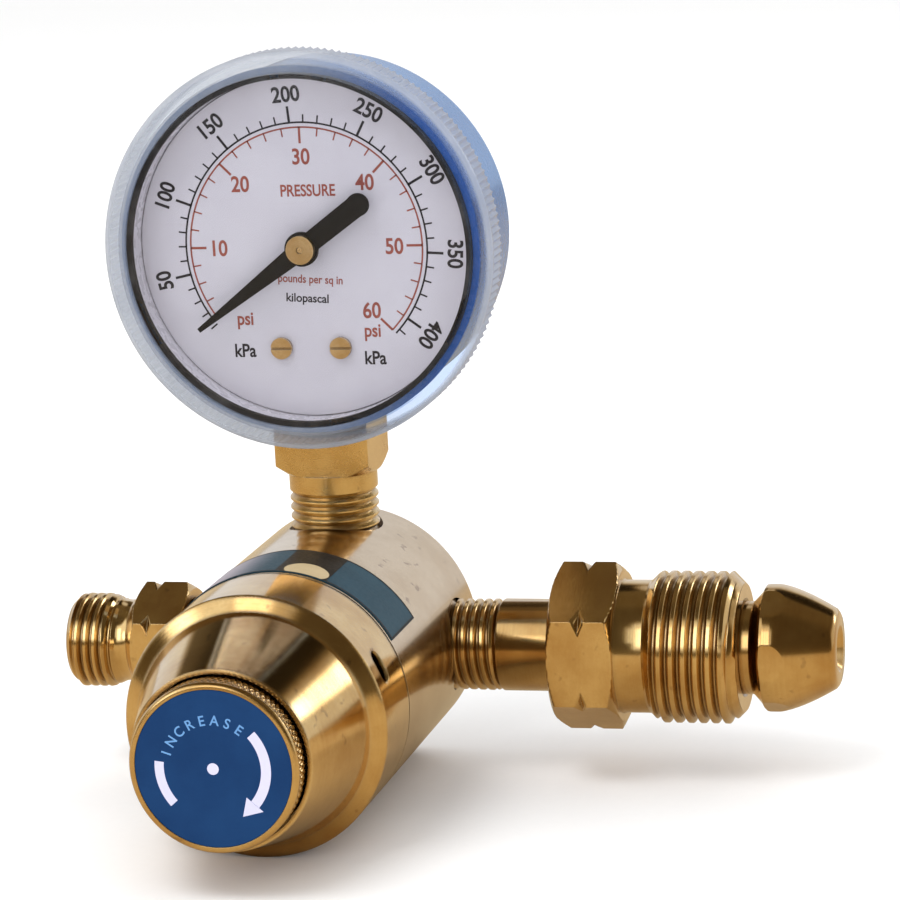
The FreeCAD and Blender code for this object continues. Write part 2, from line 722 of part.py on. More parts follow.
def gauge_socket():
    half_width = "socket_width/2"
    front = "(gauge_station - socket_depth/2)"
    back = "(gauge_station + socket_depth/2)"
    body = new_body("gauge_socket")
    prism(body, "XY_Plane", "socket_block", "socket_bottom", "socket_top", points=[
        (f"-{half_width}", front), (half_width, front), (half_width, back), (f"-{half_width}", back)])
    bevel = [
        ("socket_bottom", "7.0"),
        ("socket_bottom + 1.9", "9.6"),
        ("socket_bottom + 1.9", "11"),
        ("socket_bottom - 1", "11"),
        ("socket_bottom - 1", "7.0"),
    ]
    revolve_at_gauge(body, "socket_bevel", bevel)
    prism(body, "XY_Plane", "socket_stem", "stem_bottom", "socket_bottom",
          circles=[(("0", "gauge_station"), "gauge_stem")])
    inner = [("-post_half", "dial_front + dial_thickness"), ("post_half", "dial_front + dial_thickness"),
             ("post_half", "case_back - case_wall"), ("-post_half", "case_back - case_wall")]
    prism(body, "XY_Plane", "post_base", "socket_top", "gauge_height - 19.5", points=inner)
    front_post = [("-post_half", "dial_front + dial_thickness"),
                  ("post_half", "dial_front + dial_thickness"),
                  ("post_half", "front_plate - 0.2"), ("-post_half", "front_plate - 0.2")]
    prism(body, "XY_Plane", "front_post", "gauge_height - 19.5", "gauge_height - 12.5", points=front_post)
    rear_post = [("-post_half", "back_plate + plate_thickness"),
                 ("post_half", "back_plate + plate_thickness"),
                 ("post_half", "case_back - case_wall"), ("-post_half", "case_back - case_wall")]
    prism(body, "XY_Plane", "rear_post", "gauge_height - 19.5", "gauge_height - 11", points=rear_post)
    prism(body, "XY_Plane", "gas_way", "stem_bottom", "gauge_height - 22.5",
          circles=[(("0", "gauge_station"), "1.5")], cut=True)
    prism(body, "XZ_Plane", "gas_way_back", "gauge_station", "8.2",
          circles=[(("0", "gauge_height - 23"), "1.0")], cut=True)
    prism(body, "YZ_Plane", "gas_way_side", "-4.9", "0",
          circles=[(("8.2", "gauge_height - 23"), "1.0")], cut=True)
    prism(body, "XY_Plane", "gas_way_up", "gauge_height - 23", "gauge_height - 19.2",
          circles=[(("-4.4", "8.2"), "0.7")], cut=True)
    for number, side in enumerate(("-", "")):
        x = f"{side}dial_screw_x"
        prism(body, "XZ_Plane", f"dial_screw_hole_{number + 1}", "dial_front + dial_thickness",
              "front_plate - 0.2", circles=[((x, "gauge_height - dial_screw_drop"), "1.0 + fit_gap")],
              cut=True)
        prism(body, "XZ_Plane", f"plate_screw_hole_{number + 1}", "back_plate + plate_thickness", "7.2",
              circles=[((f"{side}4", "gauge_height - 14.5"), "0.8 + fit_gap")], cut=True)
        prism(body, "XZ_Plane", f"case_screw_hole_{number + 1}", "8.2", "case_back - case_wall",
              circles=[((f"{side}3.6", "gauge_height - 14.5"), "1.5 + fit_gap")], cut=True)
    first_ring = "body_radius - 1.9"
    ring = revolve_at_gauge(body, "stem_thread", [
        (first_ring, "gauge_stem + 0.2"),
        (first_ring, "gauge_stem"),
        (f"{first_ring} + 0.42*pipe_pitch", "gauge_stem - 0.55"),
        (f"{first_ring} + 0.84*pipe_pitch", "gauge_stem"),
        (f"{first_ring} + 0.84*pipe_pitch", "gauge_stem + 0.2"),
    ])
    row = body.newObject("PartDesign::LinearPattern", "stem_thread_row")
    row.Originals = [ring]
    row.Direction = (origin_part(body, "Z_Axis"), [""])
    row.setExpression("Length", ex("pipe_pitch*4"))
    row.Occurrences = 5
    body.Tip = row


GAUGE = ("0", "0", "gauge_height")


def gauge_case():
    body = turned("gauge_case", "Y", [
        ("case_back", "0"),
        ("case_back", "case_radius - 2"),
        ("case_back - 0.6", "case_radius - 0.6"),
        ("case_back - 2", "case_radius"),
        ("case_front", "case_radius"),
        ("case_front", "rim_radius"),
        ("rim_front", "rim_radius"),
        ("rim_front", "case_radius - case_wall"),
        ("case_back - case_wall - 1.5", "case_radius - case_wall"),
        ("case_back - case_wall", "case_radius - case_wall - 1.5"),
        ("case_back - case_wall", "0"),
    ], centre=GAUGE)
    half = "(socket_width/2 + fit_gap)"
    near = "(gauge_station - socket_depth/2 - fit_gap)"
    far = "(gauge_station + socket_depth/2 + fit_gap)"
    prism(body, "XY_Plane", "socket_opening", "-case_radius - 1", "-20",
          points=[(f"-{half}", near), (half, near), (half, far), (f"-{half}", far)], cut=True)
    for number, side in enumerate(("-", "")):
        prism(body, "XZ_Plane", f"case_hole_{number + 1}", "case_back - 2", "case_back + 1",
              circles=[((f"{side}3.6", "-14.5"), "1.5 + fit_gap")], cut=True)


def gauge_front():
    turned("gauge_lens", "Y", [
        ("lens_front", "0"),
        ("lens_front", "lens_radius - 1"),
        ("lens_front + 0.3", "lens_radius - 0.3"),
        ("lens_front + 1", "lens_radius"),
        ("lens_rear", "lens_radius"),
        ("lens_rear", "lens_inner"),
        ("rim_front - 1", "lens_inner"),
        ("rim_front - 1", "0"),
    ], centre=GAUGE)
    turned("lens_gasket", "Y", [
        ("rim_front - 1", "case_radius - case_wall"),
        ("rim_front - 1", "case_radius - 0.4"),
        ("rim_front", "case_radius - 0.4"),
        ("rim_front", "case_radius - case_wall"),
    ], centre=GAUGE)
    dial = turned("gauge_dial", "Y", [
        ("dial_front", "1.4"),
        ("dial_front", "dial_radius"),
        ("dial_front + dial_thickness", "dial_radius"),
        ("dial_front + dial_thickness", "1.4"),
    ], centre=GAUGE)
    for number, side in enumerate(("-", "")):
        prism(dial, "XZ_Plane", f"dial_hole_{number + 1}", "dial_front - 1", "dial_front + 2",
              circles=[((f"{side}dial_screw_x", "-dial_screw_drop"), "1.0 + fit_gap")], cut=True)


def screws(name, places, head_radius, shank_radius, under_head, head_height, length, axis_sign):
    """Group of identical slotted screws along Y; each stays a separate solid."""
    solids = []
    for number, (x, z) in enumerate(places):
        head_at = f"{under_head} - {head_height}" if axis_sign > 0 else under_head
        shank_at = under_head if axis_sign > 0 else f"{under_head} - {length}"
        head = cylinder(f"{name}_head_{number}", "Y", (x, head_at, z), head_radius, head_height)
        shank = cylinder(f"{name}_shank_{number}", "Y", (x, shank_at, z), shank_radius, length)
        blank = fuse(f"{name}_blank_{number}", [head, shank])
        depth = f"0.4*{head_height}"
        face = f"{head_at} - 0.1" if axis_sign > 0 else f"{head_at} + {head_height} - {depth}"
        slot = box(f"{name}_slot_{number}", (f"{x} - {head_radius} - 0.1", face, f"({z}) - 0.12*{head_radius}"),
                   (f"2*{head_radius} + 0.2", f"{depth} + 0.1", f"0.24*{head_radius}"))
        solids.append(cut(f"{name}_{number}", blank, [slot]))
    group = doc.addObject("Part::Compound", name)
    group.Links = solids
    NODES[name] = group


def gauge_screws():
    drop = "gauge_height - dial_screw_drop"
    screws("dial_screws", [("-dial_screw_x", drop), ("dial_screw_x", drop)],
           "1.6", "1.0", "dial_front", "0.8", "2.8", 1)
    seat = "gauge_height - 14.5"
    screws("case_screws", [("-3.6", seat), ("3.6", seat)], "2.6", "1.5", "case_back", "1.5", "4.8", -1)


# ---------------------------------------------------------------- gauge movement

PINION_RADIUS = "tooth_module*pinion_teeth/2"
CENTRES = f"({PINION_RADIUS}*(1 + gear_ratio))"
PIVOT_X = f"({CENTRES}*sin(sector_bearing))"
PIVOT_Z = f"(gauge_height - {CENTRES}*cos(sector_bearing))"
PILLARS = (("-4.4", "gauge_height + 3.4"), ("4.6", "gauge_height + 3.8"), ("12.2", "gauge_height - 11.5"))


def outline_plate(name, station, points, holes):
    body = new_body(name)
    body.setExpression("Placement.Base.z", ex("gauge_height"))
    prism(body, "XZ_Plane", name + "_blank", station, f"{station} + plate_thickness", points=points)
    prism(body, "XZ_Plane", name + "_holes", f"{station} - 1", f"{station} + 2", circles=holes, cut=True)


def movement_frame():
    pivots = [(("0", "0"), "arbor_radius + run_gap"),
              ((f"{CENTRES}*sin(sector_bearing)", f"-{CENTRES}*cos(sector_bearing)"),
               "arbor_radius + run_gap")]
    fixings = [(("-4.4", "3.4"), "arbor_radius + fit_gap"), (("4.6", "3.8"), "arbor_radius + fit_gap"),
               (("12.2", "-11.5"), "arbor_radius + fit_gap")]
    top = [("-6.2", "5.2"), ("6.4", "5.4"), ("14.0", "-9.8"), ("14.0", "-13.2"), ("10.4", "-16.6")]
    outline_plate("movement_front_plate", "front_plate",
                  top + [("6.9", "-16.6"), ("6.9", "-11.8"), ("-2.5", "-2.5"), ("-6.2", "1.4")],
                  pivots + fixings)
    outline_plate("movement_back_plate", "back_plate",
                  top + [("6.0", "-17.6"), ("-5.8", "-17.6"), ("-5.8", "-9"), ("-6.2", "1.4")],
                  pivots + [(("-4", "-14.5"), "0.8 + fit_gap"), (("4", "-14.5"), "0.8 + fit_gap")])
    posts = []
    for number, (x, z) in enumerate(PILLARS):
        column = cylinder(f"pillar_column_{number}", "Y", (x, "front_plate + plate_thickness", z), "1.0",
                          "back_plate - front_plate - plate_thickness")
        bore = cylinder(f"pillar_bore_{number}", "Y", (x, "front_plate + plate_thickness", z),
                        "arbor_radius + fit_gap", "2.6")
        posts.append(cut(f"pillar_{number}", column, [bore]))
    group = doc.addObject("Part::Compound", "movement_pillars")
    group.Links = posts
    NODES["movement_pillars"] = group
    screws("movement_screws", list(PILLARS), "1.1", "arbor_radius", "front_plate", "0.8", "3.2", 1)
    seat = "gauge_height - 14.5"
    screws("plate_screws", [("-4", seat), ("4", seat)], "1.4", "0.8", "back_plate", "1.0", "3.0", 1)


def toothed(name, root_radius, tip_radius, pitch_radius, depth, count, first, step):
    """One flat shape of trapezoid teeth for a gear whose axis is +Y at the origin, front face at y = 0."""
    slope = math.tan(math.radians(20))
    half_pitch = 0.25 * math.pi * SIZES["tooth_module"] - 0.045
    base_half = half_pitch + (pitch_radius - root_radius + 0.15) * slope
    tip_half = half_pitch - (tip_radius - pitch_radius) * slope
    corners = [
        FreeCAD.Vector(-base_half, 0, root_radius - 0.15),
        FreeCAD.Vector(-tip_half, 0, tip_radius),
        FreeCAD.Vector(tip_half, 0, tip_radius),
        FreeCAD.Vector(base_half, 0, root_radius - 0.15),
    ]
    blank = Part.Face(Part.makePolygon(corners + corners[:1])).extrude(FreeCAD.Vector(0, depth, 0))
    teeth = []
    for number in range(count):
        tooth = blank.copy()
        tooth.rotate(FreeCAD.Vector(0, 0, 0), FreeCAD.Vector(0, 1, 0), first + number * step)
        teeth.append(tooth)
    return teeth


def disc(radius, front, depth, x=0.0, z=0.0):
    return Part.makeCylinder(radius, depth, FreeCAD.Vector(x, front, z), FreeCAD.Vector(0, 1, 0))


def feature(name, shape, base, turn=0.0):
    obj = doc.addObject("Part::Feature", name)
    obj.Shape = shape.removeSplitter()
    obj.Placement = FreeCAD.Placement(base, FreeCAD.Rotation(FreeCAD.Vector(0, 1, 0), turn))
    NODES[name] = obj
    return obj


def size(alias):
    return float(sheet.get(alias))


def gear_train():
    module = size("tooth_module")
    pinion_pitch = module * size("pinion_teeth") / 2
    sector_pitch = pinion_pitch * size("gear_ratio")
    centres = pinion_pitch + sector_pitch
    arbor = size("arbor_radius")
    bearing = math.radians(size("sector_bearing"))
    pivot = FreeCAD.Vector(centres * math.sin(bearing), 0, size("gauge_height") - centres * math.cos(bearing))
    hub = FreeCAD.Vector(0, 0, size("gauge_height"))

    # Pinion: a tooth gap points at the sector's pivot.
    step = 360 / size("pinion_teeth")
    first = 180 - size("sector_bearing") + step / 2
    teeth = toothed("pinion", pinion_pitch - 1.2 * module, pinion_pitch + 0.8 * module, pinion_pitch, 2.4,
                    int(size("pinion_teeth")), first, step)
    shaft = disc(arbor, -9.8, 15.0)
    body = disc(pinion_pitch - 1.2 * module, 0, 2.4)
    pinion = body.fuse(teeth)
    pinion.translate(FreeCAD.Vector(0, -0.2, 0))
    pinion = pinion.fuse([shaft, disc(0.9, 2.2, 1.6)])
    feature("pinion_shaft", pinion, hub)

    # Sector: local +Z points at the pinion, teeth run on clockwise from there.
    thick = size("plate_thickness")
    front = size("sector_front")
    sector_step = step / size("gear_ratio")
    root = sector_pitch - 1.2 * module
    rim = disc(root, 0, thick).cut(disc(root - 1.6, 0, thick))
    wedge = [FreeCAD.Vector(0, 0, 0)]
    for angle in (-5.0, 15.0, 40.0):
        turn = math.radians(angle)
        wedge.append(FreeCAD.Vector(18 * math.sin(turn), 0, 18 * math.cos(turn)))
    keep = Part.Face(Part.makePolygon(wedge + wedge[:1])).extrude(FreeCAD.Vector(0, thick, 0))
    rim = rim.common(keep)
    teeth = toothed("sector", root, sector_pitch + 0.8 * module, sector_pitch, thick, 11, -sector_step,
                    sector_step)
    arms = []
    for angle in (-2.6, 37.6):
        arm = Part.makeBox(1.2, thick, root - 1.0, FreeCAD.Vector(-0.6, 0, 0))
        arm.rotate(FreeCAD.Vector(0, 0, 0), FreeCAD.Vector(0, 1, 0), angle)
        arms.append(arm)
    tail = Part.makeBox(1.6, thick, size("tail_length"), FreeCAD.Vector(-0.8, 0, 0))
    tail.rotate(FreeCAD.Vector(0, 0, 0), FreeCAD.Vector(0, 1, 0), size("tail_bearing"))
    tail_turn = math.radians(size("tail_bearing"))
    tail_x = size("tail_length") * math.sin(tail_turn)
    tail_z = size("tail_length") * math.cos(tail_turn)
    pad = disc(1.2, 0, thick, tail_x, tail_z)
    sector = rim.fuse(teeth + arms + [tail, disc(1.7, 0, thick), pad])
    sector = sector.cut(disc(arbor + 0.02, -1, 3))
    sector = sector.cut(disc(size("pin_small") + 0.02, -1, 3, tail_x, tail_z))
    at_front = FreeCAD.Vector(pivot.x, front, pivot.z)
    feature("sector_gear", sector, at_front, -size("sector_bearing"))
    arbor_shape = disc(arbor, 0, 8.7).fuse(disc(1.0, 5.0, 1.2))
    feature("sector_arbor", arbor_shape, FreeCAD.Vector(pivot.x, -3.6, pivot.z))

    # Link from the tail pin to the tube's end pin; the far hole has play.
    turn = math.radians(size("tail_bearing") - size("sector_bearing"))
    tail_at = FreeCAD.Vector(pivot.x + size("tail_length") * math.sin(turn), 0,
                             pivot.z + size("tail_length") * math.cos(turn))
    tip_at = FreeCAD.Vector(size("tip_x"), 0, size("gauge_height") + size("tip_z"))
    span = tip_at - tail_at
    heading = math.degrees(math.atan2(span.x, span.z))
    bar = Part.makeBox(1.4, thick, span.Length, FreeCAD.Vector(-0.7, 0, 0))
    link = bar.fuse([disc(1.3, 0, thick), disc(1.4, 0, thick, 0, span.Length)])
    link = link.cut(disc(size("pin_small") + size("run_gap"), -1, 3))
    link = link.cut(disc(size("pin_small") + 0.16, -1, 3, 0, span.Length))
    link_front = size("link_front")
    feature("link", link, FreeCAD.Vector(tail_at.x, link_front, tail_at.z), heading)
    feature("tail_pin", disc(size("pin_small"), 0, front + thick - link_front + 0.3)
            .fuse(disc(1.0, 0, 0.2)), FreeCAD.Vector(tail_at.x, link_front - 0.3, tail_at.z))

    # End piece on the tube, with its pin standing forward through the link.
    reach = size("tube_front") + size("tube_width")
    block_front = link_front + thick + 0.4
    end_piece = Part.makeBox(2.6, reach - block_front, 2.6, FreeCAD.Vector(-1.3, 0, -1.3))
    end_piece = end_piece.fuse(disc(size("pin_small"), link_front - 0.5 - block_front, 2.0))
    feature("tube_tip", end_piece, FreeCAD.Vector(tip_at.x, block_front, tip_at.z), 32)


def bourdon_tube():
    """Flattened C-shaped tube that starts in the rear post and runs clockwise round the movement."""
    radius = size("tube_radius")
    half_thick = size("tube_thickness") / 2
    front = size("tube_front")
    width = size("tube_width")
    inner = radius - half_thick
    outer = radius + half_thick
    flat = [FreeCAD.Vector(0, front + half_thick, 0), FreeCAD.Vector(0, front + width - half_thick, 0)]
    section = Part.Wire([
        Part.LineSegment(flat[0] + FreeCAD.Vector(0, 0, outer),
                         flat[1] + FreeCAD.Vector(0, 0, outer)).toShape(),
        Part.Arc(flat[1] + FreeCAD.Vector(0, 0, outer),
                 FreeCAD.Vector(0, front + width, radius),
                 flat[1] + FreeCAD.Vector(0, 0, inner)).toShape(),
        Part.LineSegment(flat[1] + FreeCAD.Vector(0, 0, inner),
                         flat[0] + FreeCAD.Vector(0, 0, inner)).toShape(),
        Part.Arc(flat[0] + FreeCAD.Vector(0, 0, inner),
                 FreeCAD.Vector(0, front, radius),
                 flat[0] + FreeCAD.Vector(0, 0, outer)).toShape(),
    ])
    tube = Part.Face(section).revolve(FreeCAD.Vector(0, 0, 0), FreeCAD.Vector(0, 1, 0), size("tube_sweep"))
    feature("bourdon_tube", tube, FreeCAD.Vector(0, 0, size("gauge_height")), 90 - size("tube_start"))


def hairspring():
    """Flat spiral of fine round wire around the pinion's collet."""
    path = doc.addObject("Part::Spiral", "hairspring_path")
    path.Growth = 0.72
    path.Radius = 1.15
    path.Rotations = 4
    wire = doc.addObject("Part::Circle", "hairspring_wire")
    wire.Radius = 0.12
    wire.Placement = FreeCAD.Placement(FreeCAD.Vector(1.15, 0, 0), FreeCAD.Rotation(FreeCAD.Vector(1, 0, 0), 90))
    sweep = doc.addObject("Part::Sweep", "hairspring")
    sweep.Sections = [wire]
    sweep.Spine = (path, [])
    sweep.Solid = True
    sweep.Frenet = True
    place(sweep, ("0", "3.0", "gauge_height"), ALIGN["Y"])
    NODES["hairspring"] = sweep


def pointer():
    """Black pointer, drawn pointing up and then turned to its rest mark, and its brass boss."""
    front = size("pointer_front")
    turn = 90 - size("pointer_rest")
    hub = FreeCAD.Vector(0, front, size("gauge_height"))
    blade = [
        FreeCAD.Vector(-1.5, 0, 0), FreeCAD.Vector(-0.35, 0, 20.3), FreeCAD.Vector(0.35, 0, 20.3),
        FreeCAD.Vector(1.5, 0, 0), FreeCAD.Vector(1.6, 0, -10.9), FreeCAD.Vector(-1.6, 0, -10.9),
    ]
    thick = 0.4
    hand = Part.Face(Part.makePolygon(blade + blade[:1])).extrude(FreeCAD.Vector(0, thick, 0))
    hand = hand.fuse([disc(2.55, 0, thick), disc(1.7, 0, thick, 0, -10.9)])
    hand = hand.cut(disc(1.0 + size("fit_gap"), -1, 3))
    feature("pointer", hand, hub, turn)
    boss = disc(2.1, -1.0, 1.0).fuse(disc(1.0, 0, 1.4)).cut(disc(size("arbor_radius") + 0.02, -2, 5))
    feature("pointer_hub", boss, hub)


regulator_body()
bonnet()
body_label()
adjusting_knob()
adjusting_screw()
spring_seats()
diaphragm_stack()
valve()
inlet_nipple()
inlet_nut()
outlet_fitting()
gauge_socket()
gauge_case()
gauge_front()
gauge_screws()
movement_frame()
gear_train()
bourdon_tube()
hairspring()
pointer()

# The origin is on the inlet nut's axis where its full thread ends, so it is a point of the bottle connection.
for node in NODES.values():
    if node.TypeId == "Part::Feature":
        node.Placement.Base = node.Placement.Base - FreeCAD.Vector(size("nut_front") - size("nut_chamfer"), 0, 0)
    else:
        node.setExpression("Placement.Base.x", ex("nut_chamfer - nut_front"))
doc.recompute()

# ---------------------------------------------------------------- check and write

faults = []
for obj in doc.Objects:
    if "Invalid" in obj.State or "Error" in obj.State:
        faults.append(f"{obj.Name}: {obj.State}")
for name, obj in NODES.items():
    obj.Label = name
    if obj.Shape.isNull() or not obj.Shape.isValid() or not obj.Shape.Solids:
        faults.append(f"{name}: bad shape")
if faults:
    raise RuntimeError("; ".join(faults))

os.makedirs("parts", exist_ok=True)
for name, obj in NODES.items():
    obj.Shape.exportStep(f"parts/{name}.step")
    print(name, len(obj.Shape.Solids), round(obj.Shape.Volume, 1))
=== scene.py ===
import math

import bpy
from mathutils import Matrix, Vector


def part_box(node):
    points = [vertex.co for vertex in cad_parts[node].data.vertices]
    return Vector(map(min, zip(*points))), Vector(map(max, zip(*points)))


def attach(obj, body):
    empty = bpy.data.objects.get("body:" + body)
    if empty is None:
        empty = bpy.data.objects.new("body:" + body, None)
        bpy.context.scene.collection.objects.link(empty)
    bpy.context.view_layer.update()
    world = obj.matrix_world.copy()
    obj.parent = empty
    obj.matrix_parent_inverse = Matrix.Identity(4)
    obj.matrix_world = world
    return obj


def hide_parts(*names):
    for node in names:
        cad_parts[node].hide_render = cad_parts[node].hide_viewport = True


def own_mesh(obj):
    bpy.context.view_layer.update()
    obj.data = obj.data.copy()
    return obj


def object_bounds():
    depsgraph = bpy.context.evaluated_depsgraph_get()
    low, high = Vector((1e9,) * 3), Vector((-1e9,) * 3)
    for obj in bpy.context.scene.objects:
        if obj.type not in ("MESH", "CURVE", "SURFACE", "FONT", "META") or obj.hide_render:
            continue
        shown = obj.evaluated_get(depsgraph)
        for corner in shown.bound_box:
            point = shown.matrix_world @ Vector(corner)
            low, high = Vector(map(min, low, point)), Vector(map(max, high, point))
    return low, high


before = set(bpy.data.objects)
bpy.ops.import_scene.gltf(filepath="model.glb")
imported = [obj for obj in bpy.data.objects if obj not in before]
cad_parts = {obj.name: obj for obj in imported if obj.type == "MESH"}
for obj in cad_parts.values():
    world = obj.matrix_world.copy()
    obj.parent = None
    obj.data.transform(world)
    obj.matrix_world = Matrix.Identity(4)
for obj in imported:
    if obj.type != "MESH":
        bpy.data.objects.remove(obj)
cad_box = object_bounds()

MM = 0.001
X = Vector((1, 0, 0))
Y = Vector((0, 1, 0))
Z = Vector((0, 0, 1))


# ---------------------------------------------------------------- places taken from the frame


def middle(node):
    low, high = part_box(node)
    return (low + high) / 2


def radius_of(node):
    low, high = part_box(node)
    return (high.x - low.x) / 2


BODY_AXIS_X = middle("regulator_body").x
BODY_RADIUS = radius_of("regulator_body")
GAUGE = Vector((BODY_AXIS_X, 0, middle("gauge_lens").z))
LENS_RADIUS = radius_of("gauge_lens")
CASE_EDGE = 1.8 * MM
CASE_MOUTH = radius_of("gauge_case") - CASE_EDGE
CASE_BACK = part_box("gauge_case")[1].y
DIAL_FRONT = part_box("gauge_dial")[0].y
KNOB_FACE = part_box("knob_label")[0].y
CROSSING = Vector((BODY_AXIS_X, 0, 0))

# In millimetres: thread pitches at 14 and 18 per inch, the radius of both fittings' stems,
# and how far printed ink stands off its surface.
PITCH_14 = 1.814
PITCH_18 = 1.411
STEM = 6.86
INK_LIFT = 0.02


# ---------------------------------------------------------------- shader graph helpers


class Graph:
    """Adds nodes to one material or world and hands back their output sockets."""

    def __init__(self, owner):
        owner.use_nodes = True
        self.tree = owner.node_tree
        self.tree.nodes.clear()

    def node(self, kind, values=None, **settings):
        made = self.tree.nodes.new(kind)
        for key, value in settings.items():
            setattr(made, key, value)
        for key, value in (values or {}).items():
            socket = made.inputs[key]
            if isinstance(value, bpy.types.NodeSocket):
                self.tree.links.new(value, socket)
            else:
                socket.default_value = value
        return made

    def math(self, operation, a, b=0.0, clamp=False):
        return self.node("ShaderNodeMath", {0: a, 1: b}, operation=operation, use_clamp=clamp).outputs[0]

    def vector(self, operation, a, b=(0, 0, 0), output="Vector"):
        return self.node("ShaderNodeVectorMath", {0: a, 1: b}, operation=operation).outputs[output]

    def split(self, vector):
        return self.node("ShaderNodeSeparateXYZ", {0: vector}).outputs

    def join(self, x, y, z):
        return self.node("ShaderNodeCombineXYZ", {0: x, 1: y, 2: z}).outputs[0]

    def blend(self, factor, a, b, mode="MIX"):
        return self.node("ShaderNodeMix", {0: factor, 6: a, 7: b}, data_type="RGBA",
                         blend_type=mode).outputs[2]

    def noise(self, vector, scale, detail=3.0, rough=0.55):
        return self.node("ShaderNodeTexNoise", {"Vector": vector, "Scale": scale, "Detail": detail,
                                                "Roughness": rough}).outputs["Fac"]

    def step(self, value, low, high, to_low=0.0, to_high=1.0):
        return self.node("ShaderNodeMapRange", {0: value, 1: low, 2: high, 3: to_low, 4: to_high},
                         interpolation_type="SMOOTHSTEP").outputs[0]

    def place(self):
        return self.node("ShaderNodeTexCoord").outputs["Object"]

    def bump(self, height, depth, strength, normal=None):
        values = {"Strength": strength, "Distance": depth, "Height": height}
        if normal is not None:
            values["Normal"] = normal
        return self.node("ShaderNodeBump", values).outputs[0]

    def finish(self, **values):
        named = {key.replace("_", " "): value for key, value in values.items()}
        shader = self.node("ShaderNodeBsdfPrincipled", named)
        self.node("ShaderNodeOutputMaterial", {"Surface": shader.outputs[0]})


def rgb(red, green, blue):
    return (red, green, blue, 1)


def new_material(name):
    material = bpy.data.materials.new(name)
    return material, Graph(material)


# ---------------------------------------------------------------- materials


def turned_metal(name, light, dark, rough, axis, centre, marks=0.5, speckle=0.3, stain=0.25, crease_shade_strength=0.6,
                 edge=0.12):
    """Machined metal with tool rings round one axis, tarnish clouds, spots, painted crease shade, worn edges.
    """
    material, g = new_material(name)
    place = g.place()
    offset = g.vector("SUBTRACT", place, tuple(centre))
    along = g.vector("DOT_PRODUCT", offset, tuple(axis), "Value")
    flat = g.vector("SUBTRACT", offset, g.node("ShaderNodeVectorMath", {0: tuple(axis), "Scale": along},
                                               operation="SCALE").outputs[0])
    reach = g.vector("LENGTH", flat, output="Value")
    rings_at = g.join(along, reach, 0.0)
    fine = g.noise(rings_at, 5200, 2.0, 0.6)
    wide = g.noise(rings_at, 1300, 2.0, 0.5)
    rings = g.math("ADD", g.math("MULTIPLY", fine, 0.55), g.math("MULTIPLY", wide, 0.45))
    cloud = g.noise(place, 85, 4.0, 0.6)
    grain = g.noise(place, 2600, 3.0, 0.7)
    spots = g.step(g.noise(place, 480, 2.0, 0.5), 0.66, 0.74)
    # Painted shade: ambient occlusion picks out creases, grooves and thread roots, which are darkened and
    # made rougher.
    crease = g.node("ShaderNodeAmbientOcclusion", {"Distance": 1.4 * MM}, samples=4).outputs["AO"]
    crease_shade = g.math("MULTIPLY", g.step(crease, 0.35, 0.85, 1.0, 0.0), crease_shade_strength)
    ring_tone = g.math("MULTIPLY", g.math("SUBTRACT", rings, 0.5), marks)
    tone = g.math("ADD", g.step(cloud, 0.3, 0.72), ring_tone, True)
    colour = g.blend(tone, light, dark)
    colour = g.blend(g.math("MULTIPLY", g.step(grain, 0.42, 0.75), speckle), colour, dark)
    colour = g.blend(g.math("MULTIPLY", spots, stain), colour, rgb(0.16, 0.07, 0.02))
    # Painted shade: the creases are blended toward this dark brown.
    colour = g.blend(crease_shade, colour, rgb(0.11, 0.045, 0.012))
    soft_edge = g.node("ShaderNodeBevel", {"Radius": edge * MM}, samples=4).outputs[0]
    true_edge = g.node("ShaderNodeNewGeometry").outputs["Normal"]
    wear = g.step(g.vector("DOT_PRODUCT", soft_edge, true_edge, "Value"), 0.82, 0.985, 1.0, 0.0)
    colour = g.blend(g.math("MULTIPLY", wear, 0.35), colour, rgb(0.98, 0.86, 0.60))
    finish = g.math("ADD", rough, g.math("MULTIPLY", g.math("SUBTRACT", cloud, 0.5), 0.16))
    finish = g.math("ADD", finish, g.math("MULTIPLY", g.math("SUBTRACT", rings, 0.5), 0.22 * marks))
    finish = g.math("ADD", finish, g.math("MULTIPLY", crease_shade, 0.25), True)
    normal = g.bump(rings, 0.012 * MM, marks, soft_edge)
    normal = g.bump(grain, 0.01 * MM, speckle, normal)
    tangent = g.vector("NORMALIZE", g.vector("CROSS_PRODUCT", tuple(axis), flat))
    g.finish(Base_Color=colour, Metallic=1.0, Roughness=finish, Normal=normal, Anisotropic=0.35 * marks,
             Tangent=tangent, Coat_Weight=0.8, Coat_Roughness=0.1, Coat_IOR=1.6)
    return material


def paint(name, colour, deep, rough=0.3, coat=0.5, grain_scale=900, bump_depth=0.006, mottle=0.35,
          chips=0.0, sheen_colour=None, shine=0.5, recolour=None):
    """Painted or printed surface with orange peel, slight mottling and worn specks."""
    material, g = new_material(name)
    place = g.place()
    cloud = g.noise(place, 110, 4.0, 0.6)
    peel = g.noise(place, grain_scale, 2.0, 0.5)
    fine = g.noise(place, 4200, 2.0, 0.6)
    tint = g.blend(g.math("MULTIPLY", g.step(cloud, 0.3, 0.7), mottle), colour, deep)
    tint = g.blend(g.math("MULTIPLY", g.step(fine, 0.5, 0.8), mottle * 0.6), tint, deep)
    if chips:
        flakes = g.step(g.noise(place, 1500, 3.0, 0.6), 0.70, 0.73)
        tint = g.blend(g.math("MULTIPLY", flakes, chips), tint, sheen_colour or rgb(0.6, 0.6, 0.62))
    if recolour:
        tint = recolour(g, place, tint)
    soft_edge = g.node("ShaderNodeBevel", {"Radius": 0.1 * MM}, samples=4).outputs[0]
    normal = g.bump(peel, bump_depth * MM, 0.6, soft_edge)
    finish = g.math("ADD", rough, g.math("MULTIPLY", g.math("SUBTRACT", peel, 0.5), 0.2), True)
    g.finish(Base_Color=tint, Roughness=finish, Normal=normal, Coat_Weight=coat, Coat_Roughness=0.08,
             Specular_IOR_Level=shine)
    return material


